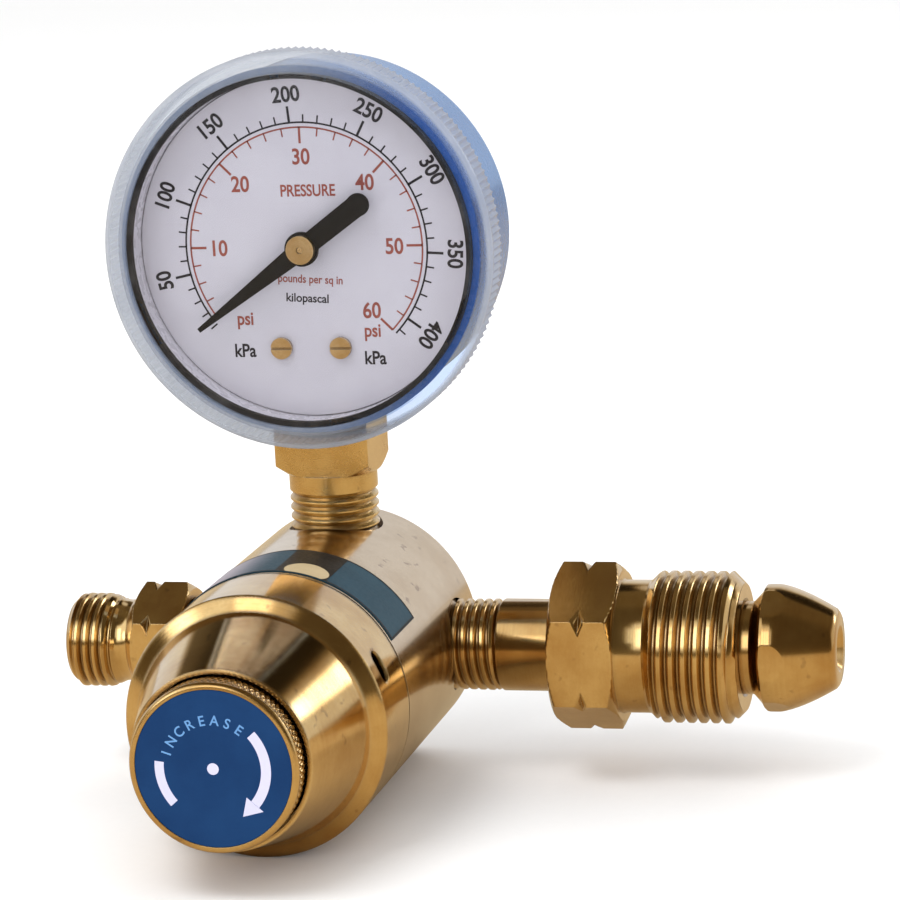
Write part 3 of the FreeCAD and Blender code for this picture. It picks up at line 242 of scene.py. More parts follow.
def case_colours(g, place, tint):
    """The case is white inside its mouth; its reflection in the brass is a painted warm brown."""
    offset = g.vector("MULTIPLY", g.vector("SUBTRACT", place, tuple(GAUGE)), (1, 0, 1))
    reach = g.vector("LENGTH", offset, output="Value")
    inside = g.math("LESS_THAN", reach, CASE_MOUTH + 0.1 * MM)
    inside = g.math("MULTIPLY", inside, g.math("LESS_THAN", g.split(place)[1], CASE_BACK - 1.0 * MM))
    tint = g.blend(inside, tint, rgb(0.66, 0.64, 0.68))
    # Painted reflection: mirror rays see the case as a warm brown instead of its blue.
    mirrored = g.node("ShaderNodeLightPath").outputs["Is Glossy Ray"]
    return g.blend(mirrored, tint, rgb(0.30, 0.21, 0.11))


def label_colours(g, place, tint):
    """Painted sheen: where the label is seen edge-on it is blended toward pale lavender, standing in for
    glare.
    """
    edge_on = g.node("ShaderNodeLayerWeight", {"Blend": 0.5}).outputs["Facing"]
    return g.blend(g.step(edge_on, 0.79, 0.95, 0.0, 0.9), tint, rgb(0.42, 0.38, 0.44))


def rubber(name, colour):
    material, g = new_material(name)
    place = g.place()
    grain = g.noise(place, 3000, 4.0, 0.7)
    bloom = g.step(g.noise(place, 160, 3.0, 0.6), 0.45, 0.8)
    tint = g.blend(g.math("MULTIPLY", bloom, 0.35), colour, rgb(0.16, 0.15, 0.14))
    g.finish(Base_Color=tint, Roughness=g.math("ADD", 0.62, g.math("MULTIPLY", grain, 0.2)),
             Normal=g.bump(grain, 0.03 * MM, 0.7))
    return material


def clear_plastic(name):
    """Clear window: passes light, mirrors at shallow angles, with faint moulding haze and fine scratches."""
    material, g = new_material(name)
    place = g.place()
    scratch_at = g.vector("MULTIPLY", place, (60, 1, 2600))
    scratch = g.step(g.noise(scratch_at, 1.0, 2.0, 0.5), 0.62, 0.75)
    wave = g.noise(place, 120, 2.0, 0.5)
    normal = g.bump(wave, 0.02 * MM, 0.5)
    mirror = g.node("ShaderNodeBsdfGlossy", {"Color": rgb(0.95, 0.97, 1.0), "Normal": normal, "Roughness":
                    g.math("ADD", 0.04, g.math("MULTIPLY", scratch, 0.12))})
    through = g.node("ShaderNodeBsdfTransparent", {"Color": rgb(0.97, 0.975, 0.995)})
    facing = g.node("ShaderNodeFresnel", {"IOR": 1.45}).outputs[0]
    share = g.math("ADD", g.math("MULTIPLY", facing, 0.35), g.math("MULTIPLY", scratch, 0.02))
    mixed = g.node("ShaderNodeMixShader", {0: share, 1: through.outputs[0], 2: mirror.outputs[0]})
    g.node("ShaderNodeOutputMaterial", {"Surface": mixed.outputs[0]})
    return material


def rim_plastic(name, centre, outer):
    """Clear lens edge: frosted ribs; face with painted refraction on its right, painted reflection on its
    left.
    """
    material, g = new_material(name)
    place = g.place()
    offset = g.vector("MULTIPLY", g.vector("SUBTRACT", place, tuple(centre)), (1, 0, 1))
    reach = g.vector("LENGTH", offset, output="Value")
    ribbed = g.step(reach, outer - 1.1 * MM, outer - 0.4 * MM)
    # Painted light: the right of the face is made clearer, standing for the case seen through it, the left
    # milkier, standing for reflections.
    right = g.step(g.math("DIVIDE", g.split(offset)[0], outer), -0.1, 0.75)
    cloud = g.noise(place, 90, 3.0, 0.6)
    fine = g.noise(place, 1700, 2.0, 0.6)
    tint = g.blend(g.step(cloud, 0.35, 0.7), rgb(0.60, 0.62, 0.67), rgb(0.48, 0.51, 0.57))
    tint = g.blend(g.math("MULTIPLY", g.step(fine, 0.5, 0.75), 0.35), tint, rgb(0.68, 0.69, 0.72))
    soft_edge = g.node("ShaderNodeBevel", {"Radius": 0.12 * MM}, samples=4).outputs[0]
    normal = g.bump(fine, 0.02 * MM, 0.5, soft_edge)
    body = g.node("ShaderNodeBsdfPrincipled", {"Base Color": tint, "Roughness": 0.24, "Normal": normal,
                                               "Coat Weight": 0.5, "Coat Roughness": 0.06, "IOR": 1.5})
    # Painted refraction: light passing the rim is tinted bluer on the right.
    hue = g.blend(right, rgb(0.88, 0.90, 0.93), rgb(0.74, 0.82, 0.95))
    through = g.node("ShaderNodeBsdfTransparent", {"Color": hue})
    glow = g.node("ShaderNodeBsdfTranslucent", {"Color": rgb(0.56, 0.58, 0.63)})
    milky = g.node("ShaderNodeMixShader", {0: 0.35, 1: body.outputs[0], 2: glow.outputs[0]})
    clear = g.node("ShaderNodeMix", {0: right, 2: 0.70, 3: 0.965}, data_type="FLOAT").outputs[0]
    clear = g.node("ShaderNodeMix", {0: ribbed, 2: clear, 3: 0.26}, data_type="FLOAT").outputs[0]
    mixed = g.node("ShaderNodeMixShader", {0: clear, 1: milky.outputs[0], 2: through.outputs[0]})
    g.node("ShaderNodeOutputMaterial", {"Surface": mixed.outputs[0]})
    return material


GOLD = rgb(0.78, 0.55, 0.23)
GOLD_DARK = rgb(0.54, 0.31, 0.085)
PALE = rgb(0.88, 0.72, 0.46)
PALE_DARK = rgb(0.70, 0.50, 0.27)
RICH = rgb(0.82, 0.60, 0.26)
RICH_DARK = rgb(0.62, 0.38, 0.11)

MATERIALS = {
    "body_brass": turned_metal("body_brass", rgb(0.69, 0.55, 0.39), rgb(0.57, 0.42, 0.26), 0.21, Y, CROSSING,
                               marks=0.5, speckle=0.45, stain=0.55, crease_shade_strength=0.5),
    "bonnet_brass": turned_metal("bonnet_brass", GOLD, GOLD_DARK, 0.10, Y, CROSSING, marks=0.5, speckle=0.25,
                                 stain=0.35, edge=0.8),
    "knob_brass": turned_metal("knob_brass", GOLD, GOLD_DARK, 0.24, Y, CROSSING, marks=0.6, speckle=0.3,
                               stain=0.4),
    "x_brass": turned_metal("x_brass", GOLD, GOLD_DARK, 0.15, X, Vector((0, 0, 0)), marks=0.6, speckle=0.2,
                            stain=0.3, crease_shade_strength=0.6),
    "socket_brass": turned_metal("socket_brass", RICH, RICH_DARK, 0.26, Z,
                                 Vector((BODY_AXIS_X, middle("gauge_socket").y, 0)), marks=0.5,
                                 speckle=0.3, stain=0.35, crease_shade_strength=0.8),
    "inner_brass": turned_metal("inner_brass", PALE, PALE_DARK, 0.28, Y, CROSSING, marks=0.4),
    "movement_brass": turned_metal("movement_brass", PALE, PALE_DARK, 0.24, Y, GAUGE, marks=0.3, edge=0.05),
    "spring_steel": turned_metal("spring_steel", rgb(0.62, 0.63, 0.65), rgb(0.38, 0.39, 0.41), 0.25, Y,
                                 CROSSING, marks=0.2, crease_shade_strength=0.3, edge=0.05),
    "screw_steel": turned_metal("screw_steel", rgb(0.66, 0.67, 0.69), rgb(0.42, 0.43, 0.45), 0.3, Y, GAUGE,
                                marks=0.4, crease_shade_strength=0.4, edge=0.08),
    "golden_screw": turned_metal("golden_screw", PALE, GOLD_DARK, 0.3, Y, GAUGE, marks=0.5, crease_shade_strength=0.8,
                                 edge=0.06),
    "blue_paint": paint("blue_paint", rgb(0.022, 0.16, 0.42), rgb(0.010, 0.095, 0.30), 0.28, 0.6, 700, 0.01,
                        recolour=case_colours),
    "dial_paint": paint("dial_paint", rgb(0.67, 0.645, 0.675), rgb(0.60, 0.57, 0.61), 0.45, 0.0, 1400, 0.004,
                        0.5, shine=0.3),
    "dial_red": paint("dial_red", rgb(0.36, 0.10, 0.07), rgb(0.26, 0.07, 0.06), 0.5, 0.0, 2200, 0.004, 0.5,
                      shine=0.2),
    "dial_black": paint("dial_black", rgb(0.022, 0.020, 0.026), rgb(0.05, 0.045, 0.05), 0.5, 0.0, 2200, 0.004,
                        0.5, shine=0.2),
    "pointer_black": paint("pointer_black", rgb(0.008, 0.008, 0.009), rgb(0.02, 0.02, 0.02), 0.5, 0.0, 1600,
                           0.008, 0.4, 0.25, rgb(0.07, 0.07, 0.07), shine=0.15),
    "disc_blue": paint("disc_blue", rgb(0.003, 0.034, 0.122), rgb(0.007, 0.050, 0.160), 0.5, 0.0, 2600, 0.006,
                       0.6, shine=0.15),
    "disc_print": paint("disc_print", rgb(0.68, 0.66, 0.84), rgb(0.58, 0.58, 0.80), 0.5, 0.0, 2600, 0.004,
                        0.4, shine=0.15),
    "disc_letters": paint("disc_letters", rgb(0.15, 0.34, 0.64), rgb(0.10, 0.25, 0.54), 0.5, 0.0, 2600,
                          0.004, 0.4, shine=0.15),
    "label_teal": paint("label_teal", rgb(0.020, 0.062, 0.092), rgb(0.012, 0.040, 0.062), 0.42, 0.0, 2200,
                        0.008, 0.6, shine=0.12, recolour=label_colours),
    "label_black": paint("label_black", rgb(0.010, 0.010, 0.011), rgb(0.03, 0.03, 0.03), 0.42, 0.0, 2200,
                         0.008, 0.5, shine=0.12),
    "label_cream": paint("label_cream", rgb(0.54, 0.43, 0.26), rgb(0.42, 0.32, 0.17), 0.45, 0.0, 2200, 0.006,
                         0.5, shine=0.12),
    "black_rubber": rubber("black_rubber", rgb(0.018, 0.017, 0.017)),
    "window": clear_plastic("window"),
    "lens_rim": rim_plastic("lens_rim", GAUGE, LENS_RADIUS),
}

FINISH = {
    "body_brass": ["regulator_body"],
    "bonnet_brass": ["bonnet"],
    "knob_brass": ["adjusting_knob", "adjusting_screw"],
    "x_brass": ["inlet_nipple", "inlet_nut", "outlet_fitting", "inlet_filter"],
    "socket_brass": ["gauge_socket"],
    "inner_brass": ["upper_spring_seat", "diaphragm_plate", "valve_nozzle", "valve_stem", "slip_ring"],
    "golden_screw": ["dial_screws", "pointer_hub"],
    "movement_brass": ["pinion_shaft", "sector_gear", "sector_arbor", "link",
                       "tail_pin", "tube_tip", "bourdon_tube", "movement_front_plate", "movement_back_plate",
                       "movement_pillars"],
    "spring_steel": ["stop_ring", "adjusting_spring", "valve_spring", "hairspring"],
    "screw_steel": ["case_screws", "movement_screws", "plate_screws"],
    "blue_paint": ["gauge_case"],
    "dial_paint": ["gauge_dial"],
    "pointer_black": ["pointer"],
    "disc_blue": ["knob_label"],
    "label_teal": ["body_label"],
    "black_rubber": ["diaphragm", "nozzle_gasket", "valve_seat_disc", "lens_gasket"],
    "window": ["gauge_lens"],
}


def dress(node, material):
    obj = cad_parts[node]
    obj.data.materials.clear()
    obj.data.materials.append(material)


for finish, nodes in FINISH.items():
    for node in nodes:
        dress(node, MATERIALS[finish])


# ---------------------------------------------------------------- mesh helpers

SIDE = {"X": (Z, -Y), "Y": (Z, X), "Z": (X, Y)}
ALONG = {"X": X, "Y": Y, "Z": Z}


def in_mm(value):
    return value / MM


def metres(pairs):
    """Converts pairs in millimetres: a profile's stations and radii, or the bevels of a thread's ends."""
    return [(first * MM, second * MM) for first, second in pairs]


class Piece:
    """Collects turned and threaded surfaces that become one mesh."""

    def __init__(self, axis="Y", origin=Vector((0, 0, 0))):
        self.axis = ALONG[axis]
        self.up, self.across = SIDE[axis]
        self.origin = origin
        self.points = []
        self.faces = []

    def at(self, station, radius, angle):
        ring = self.up * math.cos(angle) + self.across * math.sin(angle)
        return self.origin + self.axis * station + ring * radius

    def turned(self, profile, shape=None, steps=192):
        """Surface of revolution through (station, radius) pairs; shape may change each point's radius."""
        start = len(self.points)
        for station, radius in profile:
            for step in range(steps):
                angle = 2 * math.pi * step / steps
                reach = shape(radius, station, angle) if shape else radius
                self.points.append(self.at(station, reach, angle))
        for row in range(len(profile) - 1):
            for step in range(steps):
                a = start + row * steps + step
                b = start + row * steps + (step + 1) % steps
                self.faces.append((a, b, b + steps, a + steps))
        return self

    def thread(self, low, high, crest, depth, pitch, hand, ends, steps=96, taper=0.0):
        """Helical thread between two stations; each end is (length, drop) of its bevel; hand is 1 or -1."""
        form = [(0.0, 1.0), (0.06, 1.0), (0.31, 0.10), (0.37, 0.0), (0.65, 0.0), (0.71, 0.10), (0.96, 1.0)]
        turns = int((high - low) / pitch) + 3
        rows = [(low + (turn - 1 + part) * pitch, drop) for turn in range(turns) for part, drop in form]
        start = len(self.points)
        count = len(rows)
        for step in range(steps):
            share = step / steps if hand > 0 else (steps - step) / steps
            angle = 2 * math.pi * step / steps
            for station, drop in rows:
                moved = station + pitch * share
                held = min(max(moved, low), high)
                full = crest + taper * (held - low)
                first = full - ends[0][1] * max(0.0, 1 - (held - low) / ends[0][0])
                last = full - ends[1][1] * max(0.0, 1 - (high - held) / ends[1][0])
                self.points.append(self.at(held, min(full - depth * drop, first, last), angle))
        per_turn = len(form)
        for step in range(steps):
            after = (step + 1) % steps
            lift = 0
            if after == 0:
                lift = per_turn if hand > 0 else -per_turn
            for row in range(count - 1):
                if not (0 <= row + lift and row + 1 + lift < count):
                    continue
                a = start + step * count + row
                b = start + after * count + row + lift
                self.faces.append((a, b, b + 1, a + 1))
        return self

    def build(self, name, body, material, finish, stands_for=None, sharp=32, bevel=0.0):
        mesh = bpy.data.meshes.new(name)
        mesh.from_pydata([tuple(p) for p in self.points], [], self.faces)
        mesh.materials.append(material)
        mesh.validate()
        obj = bpy.data.objects.new(name, mesh)
        bpy.context.scene.collection.objects.link(obj)
        weld = obj.modifiers.new("weld", "WELD")
        weld.merge_threshold = 0.001 * MM
        settle(obj, sharp)
        if bevel:
            round_edges(obj, bevel)
        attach(obj, body)
        if stands_for:
            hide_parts(stands_for)
        return obj


def settle(obj, sharp):
    """Apply the modifiers and smooth all but the sharp edges."""
    bpy.context.view_layer.update()
    graph = bpy.context.evaluated_depsgraph_get()
    mesh = bpy.data.meshes.new_from_object(obj.evaluated_get(graph))
    obj.modifiers.clear()
    obj.data = mesh
    mesh.name = obj.name
    for polygon in mesh.polygons:
        polygon.use_smooth = True
    mesh.set_sharp_from_angle(angle=math.radians(sharp))


def round_edges(obj, width):
    soft = obj.modifiers.new("edges", "BEVEL")
    soft.width = width * MM
    soft.segments = 2
    soft.limit_method = "ANGLE"
    soft.angle_limit = math.radians(35)


def hexagon(across):
    """Reshape a radius to a hexagon with two flats facing the front and the back."""
    def shape(radius, station, angle):
        turn = (angle + math.radians(60)) % math.radians(60) - math.radians(30)
        return min(radius, across / 2 / math.cos(turn))
    return shape


# ---------------------------------------------------------------- inlet and outlet connectors


NUT_LOW, NUT_HIGH = (v.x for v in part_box("inlet_nut"))
OUT_LOW, OUT_HIGH = (v.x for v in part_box("outlet_fitting"))
NIPPLE_LOW, NIPPLE_HIGH = (v.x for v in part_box("inlet_nipple"))


def hex_rows(low, high, across, bevel, neck_low, neck_high, notches):
    """Stations across a hexagon: bevelled ends, a notch line cut in the corners, and dense rows between."""
    corner = across / 2 / math.cos(math.radians(30))
    slope = bevel / (corner - across / 2)
    rows = [(low, neck_low), (low, across / 2 - 0.2)]
    count = 60
    for i in range(count + 1):
        s = low + (high - low) * i / count
        r = min(corner + 0.02, across / 2 + min(s - low, high - s) / slope)
        for centre, half, floor in notches:
            r = min(r, floor + abs(s - centre) * (corner - floor) / half)
        rows.append((s, r))
    rows += [(high, across / 2 - 0.2), (high, neck_high)]
    return rows


def inlet_nut():
    """Notched hexagon, turned neck and left-hand thread that screws into the bottle valve."""
    front = in_mm(NUT_HIGH)
    rear = in_mm(NUT_LOW)
    hex_end = rear + 9.7
    thread_start = front - 13.45
    across = 22.2
    bore = 6.91
    piece = Piece("X")
    notch = [((rear + hex_end) / 2, 0.9, across / 2 + 0.8)]
    piece.turned(metres(hex_rows(rear, hex_end, across, 0.9, bore, 10.0, notch)), hexagon(across * MM))
    piece.turned(metres([(hex_end, 10.0), (hex_end + 0.3, 9.85), (thread_start - 0.4, 9.85),
                         (thread_start, 10.1)]))
    piece.thread(thread_start * MM, front * MM, 11.24 * MM, 0.98 * MM, PITCH_14 * MM, -1,
                 metres([(1.05, 1.05), (1.8, 1.8)]))
    piece.turned(metres([(front, 9.44), (front, bore + 0.4), (front - 0.4, bore), (rear, bore)]))
    piece.build("inlet_nut_turned", "inlet_nut", MATERIALS["x_brass"], "brass", "inlet_nut", bevel=0.08)


def inlet_nipple():
    """Pipe thread into the body, plain stem, and the rounded nose with six scalloped flats."""
    low = in_mm(NIPPLE_LOW)
    tip = in_mm(NIPPLE_HIGH)
    base = tip - 9.0
    start = tip - 11.1
    bore = 2.6
    thread_end = in_mm(BODY_AXIS_X + BODY_RADIUS) + 6.3
    piece = Piece("X")
    piece.turned(metres([(low, 4.0), (low, STEM - 0.8)]))
    piece.thread(low * MM, thread_end * MM, (STEM - 0.22) * MM, 0.72 * MM, PITCH_18 * MM, 1,
                 metres([(0.75, 0.75), (0.75, 0.75)]), taper=0.014)
    nose = [(thread_end, STEM - 0.75), (thread_end + 0.05, STEM - 0.12), (thread_end + 0.25, STEM),
            (start - 1.4, STEM), (start, 8.4), (start + 0.5, 9.3), (start + 0.9, 9.4), (base, 9.4)]
    rounds = 26
    for i in range(1, rounds + 1):
        part = i / rounds
        nose.append((base + 8.5 * part, 9.4 - 3.5 * part ** 1.45))
    nose += [(tip - 0.15, 5.45), (tip, 5.1), (tip, bore + 0.9), (tip - 0.9, bore), (tip - 22, bore)]
    dense = []
    for (s0, r0), (s1, r1) in zip(nose, nose[1:]):
        cuts = 6 if base - 3 < s0 < base + 6 and s1 - s0 > 0.3 else 1
        dense += [(s0 + (s1 - s0) * i / cuts, r0 + (r1 - r0) * i / cuts) for i in range(cuts)]
    dense.append(nose[-1])
    flats = hexagon(18.0 * MM)

    def scallop(radius, station, angle):
        return flats(radius, station, angle) if station > (start - 0.2) * MM else radius

    piece.turned(metres(dense), scallop, steps=240)
    piece.build("inlet_nipple_turned", "regulator", MATERIALS["x_brass"], "brass", "inlet_nipple",
                bevel=0.06)


def outlet_fitting():
    """Hexagon with its notch line and the left-hand hose thread, plus the pipe thread into the body."""
    end = in_mm(OUT_LOW)
    high = in_mm(OUT_HIGH)
    hex_outer = end + 10.8
    hex_inner = end + 18.8
    thread_start = end + 7.9
    across = 15.9
    neck = 6.15
    bore = 3.1
    piece = Piece("X")
    piece.turned(metres([(end + 2.4, bore), (end, 5.5), (end, 5.94)]))
    piece.thread(end * MM, thread_start * MM, 7.14 * MM, 0.86 * MM, PITCH_18 * MM, -1,
                 metres([(1.2, 1.2), (2.2, 0.9)]))
    piece.turned(metres([(thread_start, 6.24), (thread_start + 0.5, neck), (hex_outer - 1.35, neck),
                         (hex_outer - 1.1, neck + 0.15), (hex_outer, across / 2 - 0.1)]))
    notch = [(hex_outer + 2.8, 0.8, across / 2 + 0.4)]
    piece.turned(metres(hex_rows(hex_outer, hex_inner, across, 0.8, across / 2 - 0.1, 6.6, notch)),
                 hexagon(across * MM))
    body_face = in_mm(BODY_AXIS_X - BODY_RADIUS)
    piece.thread((hex_inner - 0.2) * MM, (body_face + 8.4) * MM, STEM * MM, 0.75 * MM, PITCH_18 * MM, 1,
                 metres([(0.7, 0.7), (0.7, 0.7)]))
    piece.turned(metres([(body_face + 8.4, 6.16), (high, 6.1), (high, bore), (end + 2.4, bore)]))
    piece.build("outlet_fitting_turned", "regulator", MATERIALS["x_brass"], "brass", "outlet_fitting",
                bevel=0.06)


inlet_nut()
inlet_nipple()
outlet_fitting()


# ---------------------------------------------------------------- knob


def adjusting_knob():
    """Knurled brass knob with a thin bright lip round its printed disc."""
    low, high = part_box("adjusting_knob")
    front = in_mm(low.y)
    rear = in_mm(high.y)
    radius = in_mm(radius_of("adjusting_knob"))
    recess = in_mm(radius_of("knob_label")) + 0.03
    teeth = 84
    knurl_start = front + 0.75
    knurl_end = rear - 0.7

    def knurl(reach, station, angle):
        s = station / MM
        if not knurl_start <= s <= knurl_end or reach < (radius - 0.3) * MM:
            return reach
        fade = min(1.0, (s - knurl_start) / 0.35, (knurl_end - s) / 0.35)
        slant = s * 0.62
        ridge = max(math.cos(teeth * angle + slant * 6), math.cos(teeth * angle - slant * 6))
        return reach - 0.28 * MM * fade * (0.5 - 0.5 * ridge)

    profile = [(front + 0.25, 0.0), (front + 0.25, recess), (front, recess + 0.03), (front, radius - 0.5),
               (front + 0.12, radius - 0.25), (front + 0.45, radius)]
    rows = 26
    profile += [(knurl_start + (knurl_end - knurl_start) * i / rows, radius) for i in range(rows + 1)]
    profile += [(rear - 0.4, radius), (rear, radius - 0.4), (rear, 4.79), (front + 3.0, 4.79),
                (front + 3.0, 0.0)]
    piece = Piece("Y", CROSSING)
    piece.turned(metres(profile), knurl, steps=840)
    piece.build("adjusting_knob_knurled", "knob", MATERIALS["knob_brass"], "brass", "adjusting_knob",
                sharp=40)


adjusting_knob()


# ---------------------------------------------------------------- gauge lens


def gauge_lens():
    """Snap-on lens: a flat clear window with a ribbed, milky rim."""
    low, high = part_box("gauge_lens")
    front = in_mm(low.y)
    rear = in_mm(high.y)
    outer = in_mm(LENS_RADIUS)
    inner = outer - 2.0
    ribs = 168
    window = Piece("Y", GAUGE)
    face = [(front + 0.12, 0.0), (front + 0.12, inner - 1.6), (front + 0.3, inner - 1.2),
            (front + 1.0, inner - 1.2), (front + 1.0, 0.0)]
    window.turned(metres(face))
    window.build("gauge_window", "regulator", MATERIALS["window"], "clear_lens")

    def rib(reach, station, angle):
        s = station / MM
        if s < front + 1.3 or reach < (outer - 0.3) * MM:
            return reach
        fade = min(1.0, (s - front - 1.3) / 0.5)
        return reach - 0.34 * MM * fade * (0.5 - 0.5 * math.cos(ribs * angle)) ** 0.7

    profile = [(front + 1.0, inner - 1.25), (front + 0.1, inner - 1.25), (front, inner - 0.9),
               (front, outer - 1.0), (front + 0.12, outer - 0.55), (front + 0.45, outer - 0.15),
               (front + 0.95, outer), (front + 1.3, outer)]
    rows = 12
    profile += [(front + 1.3 + (rear - 0.3 - front - 1.3) * i / rows, outer) for i in range(1, rows + 1)]
    profile += [(rear, outer - 0.35), (rear, inner), (front + 1.0, inner), (front + 1.0, inner - 1.25)]
    rim = Piece("Y", GAUGE)
    rim.turned(metres(profile), rib, steps=ribs * 8)
    rim.build("gauge_lens_rim", "regulator", MATERIALS["lens_rim"], "clear_lens", "gauge_lens", sharp=45)


gauge_lens()


# ---------------------------------------------------------------- springs


def spring(name, node, mean, wire, turns):
    """Round-wire spring with closed end coils between the two ends of its part."""
    low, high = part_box(node)
    front, rear = in_mm(low.y), in_mm(high.y)
    span = rear - front
    closed, active = 0.09, 0.82
    total = turns + 1.5
    rounds = 14
    steps = int(total) * 40
    piece = Piece("Y", CROSSING)
    for i in range(steps + 1):
        part = i / steps
        rise = min(max((part - closed) / active, 0.0), 1.0)
        station = front + wire + (span - 2 * wire) * rise
        angle = 2 * math.pi * total * part
        for j in range(rounds):
            turn = 2 * math.pi * j / rounds
            piece.points.append(piece.at((station + wire * math.sin(turn)) * MM,
                                         (mean + wire * math.cos(turn)) * MM, angle))
    for i in range(steps):
        for j in range(rounds):
            a = i * rounds + j
            b = i * rounds + (j + 1) % rounds
            piece.faces.append((a, a + rounds, b + rounds, b))
    piece.faces.append(tuple(range(rounds)))
    piece.faces.append(tuple(reversed(range(steps * rounds, (steps + 1) * rounds))))
    obj = piece.build(name, "regulator", MATERIALS["spring_steel"], "steel", node)
    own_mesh(obj)


spring("adjusting_spring_coil", "adjusting_spring", 8.2, 1.0, 3.0)
spring("valve_spring_coil", "valve_spring", 3.1, 0.35, 5.0)


# ---------------------------------------------------------------- printed marks


class Print:
    """Flat ink marks on a disc that faces the front; one mesh per colour."""

    def __init__(self, centre, face):
        self.centre = centre
        self.face = face
        self.points = []
        self.faces = []

    def spot(self, x, z):
        self.points.append((self.centre.x + x * MM, self.face - INK_LIFT * MM, self.centre.z + z * MM))
        return len(self.points) - 1

    def polygon(self, outline):
        self.faces.append([self.spot(x, z) for x, z in outline])

    def band(self, inner, outer, start, end, steps=96):
        """Arc band; angles in degrees counter-clockwise from the right, seen from the front."""
        for i in range(steps):
            turns = [math.radians(start + (end - start) * (i + k) / steps) for k in (0, 1)]
            self.polygon([(inner * math.cos(turns[0]), inner * math.sin(turns[0])),
                          (outer * math.cos(turns[0]), outer * math.sin(turns[0])),
                          (outer * math.cos(turns[1]), outer * math.sin(turns[1])),
                          (inner * math.cos(turns[1]), inner * math.sin(turns[1]))])

    def tick(self, inner, outer, degrees, width):
        turn = math.radians(degrees)
        out = (math.cos(turn), math.sin(turn))
        side = (-out[1] * width / 2, out[0] * width / 2)
        self.polygon([(inner * out[0] - side[0], inner * out[1] - side[1]),
                      (outer * out[0] - side[0], outer * out[1] - side[1]),
                      (outer * out[0] + side[0], outer * out[1] + side[1]),
                      (inner * out[0] + side[0], inner * out[1] + side[1])])

    def disc(self, radius, steps=48):
        self.polygon([(radius * math.cos(2 * math.pi * i / steps), radius * math.sin(2 * math.pi * i / steps))
                      for i in range(steps)])

    def text(self, words, height, x, z, turn=0.0, narrow=1.0, weight=0.03):
        """Plain lettering centred on a point and turned by degrees."""
        curve = bpy.data.curves.new("letters", "FONT")
        curve.body = words
        curve.size = height * 1.38
        curve.align_x = "CENTER"
        curve.offset = weight * height
        maker = bpy.data.objects.new("letters", curve)
        bpy.context.scene.collection.objects.link(maker)
        bpy.context.view_layer.update()
        mesh = maker.to_mesh()
        spin = Matrix.Rotation(math.radians(turn), 2)
        start = len(self.points)
        for vertex in mesh.vertices:
            place = spin @ Vector((vertex.co.x * narrow, vertex.co.y - height / 2))
            self.spot(x + place.x, z + place.y)
        for polygon in mesh.polygons:
            self.faces.append([start + i for i in polygon.vertices])
        maker.to_mesh_clear()
        bpy.data.objects.remove(maker)

    def build(self, name, body, material, finish):
        mesh = bpy.data.meshes.new(name)
        mesh.from_pydata(self.points, [], self.faces)
        mesh.validate()
        mesh.materials.append(material)
        obj = bpy.data.objects.new(name, mesh)
        bpy.context.scene.collection.objects.link(obj)
        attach(obj, body)
        return obj


def dial_print():
    """Two scales on one 270 degree sweep: red pounds per square inch inside, black kilopascals outside."""
    zero = 225.0
    sweep = 270
    line_start = 216.0
    psi_step = sweep / 60
    kpa_step = sweep / 413.7
    red = Print(GAUGE, DIAL_FRONT)
    black = Print(GAUGE, DIAL_FRONT)
    red.band(17.45, 17.70, line_start, zero - sweep)
    black.band(18.15, 18.42, line_start, zero - sweep)
    for value in range(2, 61, 2):
        major = value % 10 == 0
        red.tick(17.5 - (2.3 if major else 1.15), 17.6, zero - psi_step * value, 0.36 if major else 0.22)
    for value in range(10, 411, 10):
        major = value % 50 == 0
        black.tick(18.2, 18.2 + (2.5 if major else 1.25), zero - kpa_step * value, 0.38 if major else 0.24)
    for value in range(10, 61, 10):
        turn = math.radians(zero - psi_step * value)
        red.text(str(value), 2.35, 13.35 * math.cos(turn), 13.35 * math.sin(turn), 0, 0.86)
    for value in range(50, 401, 50):
        degrees = zero - kpa_step * value
        turn = math.radians(degrees)
        black.text(str(value), 2.3, 22.55 * math.cos(turn), 22.55 * math.sin(turn), degrees - 90, 0.9, 0.035)
    red.text("PRESSURE", 1.75, 0.75, 8.35, 0, 0.80, 0.03)
    red.text("pounds per sq in", 1.25, 0.4, -4.75, -3, 0.85, 0.025)
    black.text("kilopascal", 1.3, -0.2, -7.55, -3, 0.95, 0.025)
    red.text("psi", 2.0, -9.9, -10.5, 0, 0.85)
    red.text("psi", 2.0, 9.4, -12.4, 0, 0.85)
    black.text("kPa", 2.0, -10.2, -15.3, 0, 0.85)
    black.text("kPa", 2.0, 9.6, -16.5, 0, 0.85)
    red.build("dial_marks_red", "regulator", MATERIALS["dial_red"], "white_paint")
    black.build("dial_marks_black", "regulator", MATERIALS["dial_black"], "black_paint")


def knob_print():
    """Turning direction: the word INCREASE on an arc and two arc arrows round a centre dot."""
    pale = Print(CROSSING, KNOB_FACE)
    pale.disc(0.82)
    pale.band(6.75, 8.15, 41, -41)
    head = [math.radians(-60), math.radians(-41)]
    pale.polygon([(7.65 * math.cos(head[0]), 7.65 * math.sin(head[0])),
                  (8.95 * math.cos(head[1]), 8.95 * math.sin(head[1])),
                  (5.95 * math.cos(head[1]), 5.95 * math.sin(head[1]))])
    pale.band(6.95, 8.25, 173, 220.5)
    pale.build("knob_marks", "knob", MATERIALS["disc_print"], "blue_label")
    letters = Print(CROSSING, KNOB_FACE)
    word = "INCREASE"
    first, last = 162.0, 54.0
    for i, letter in enumerate(word):
        degrees = first + (last - first) * i / (len(word) - 1)
        turn = math.radians(degrees)
        letters.text(letter, 1.45, 6.85 * math.cos(turn), 6.85 * math.sin(turn), degrees - 90, 0.95, 0.02)
    letters.build("knob_letters", "knob", MATERIALS["disc_letters"], "blue_label")


dial_print()
knob_print()


# ---------------------------------------------------------------- printed wrap label


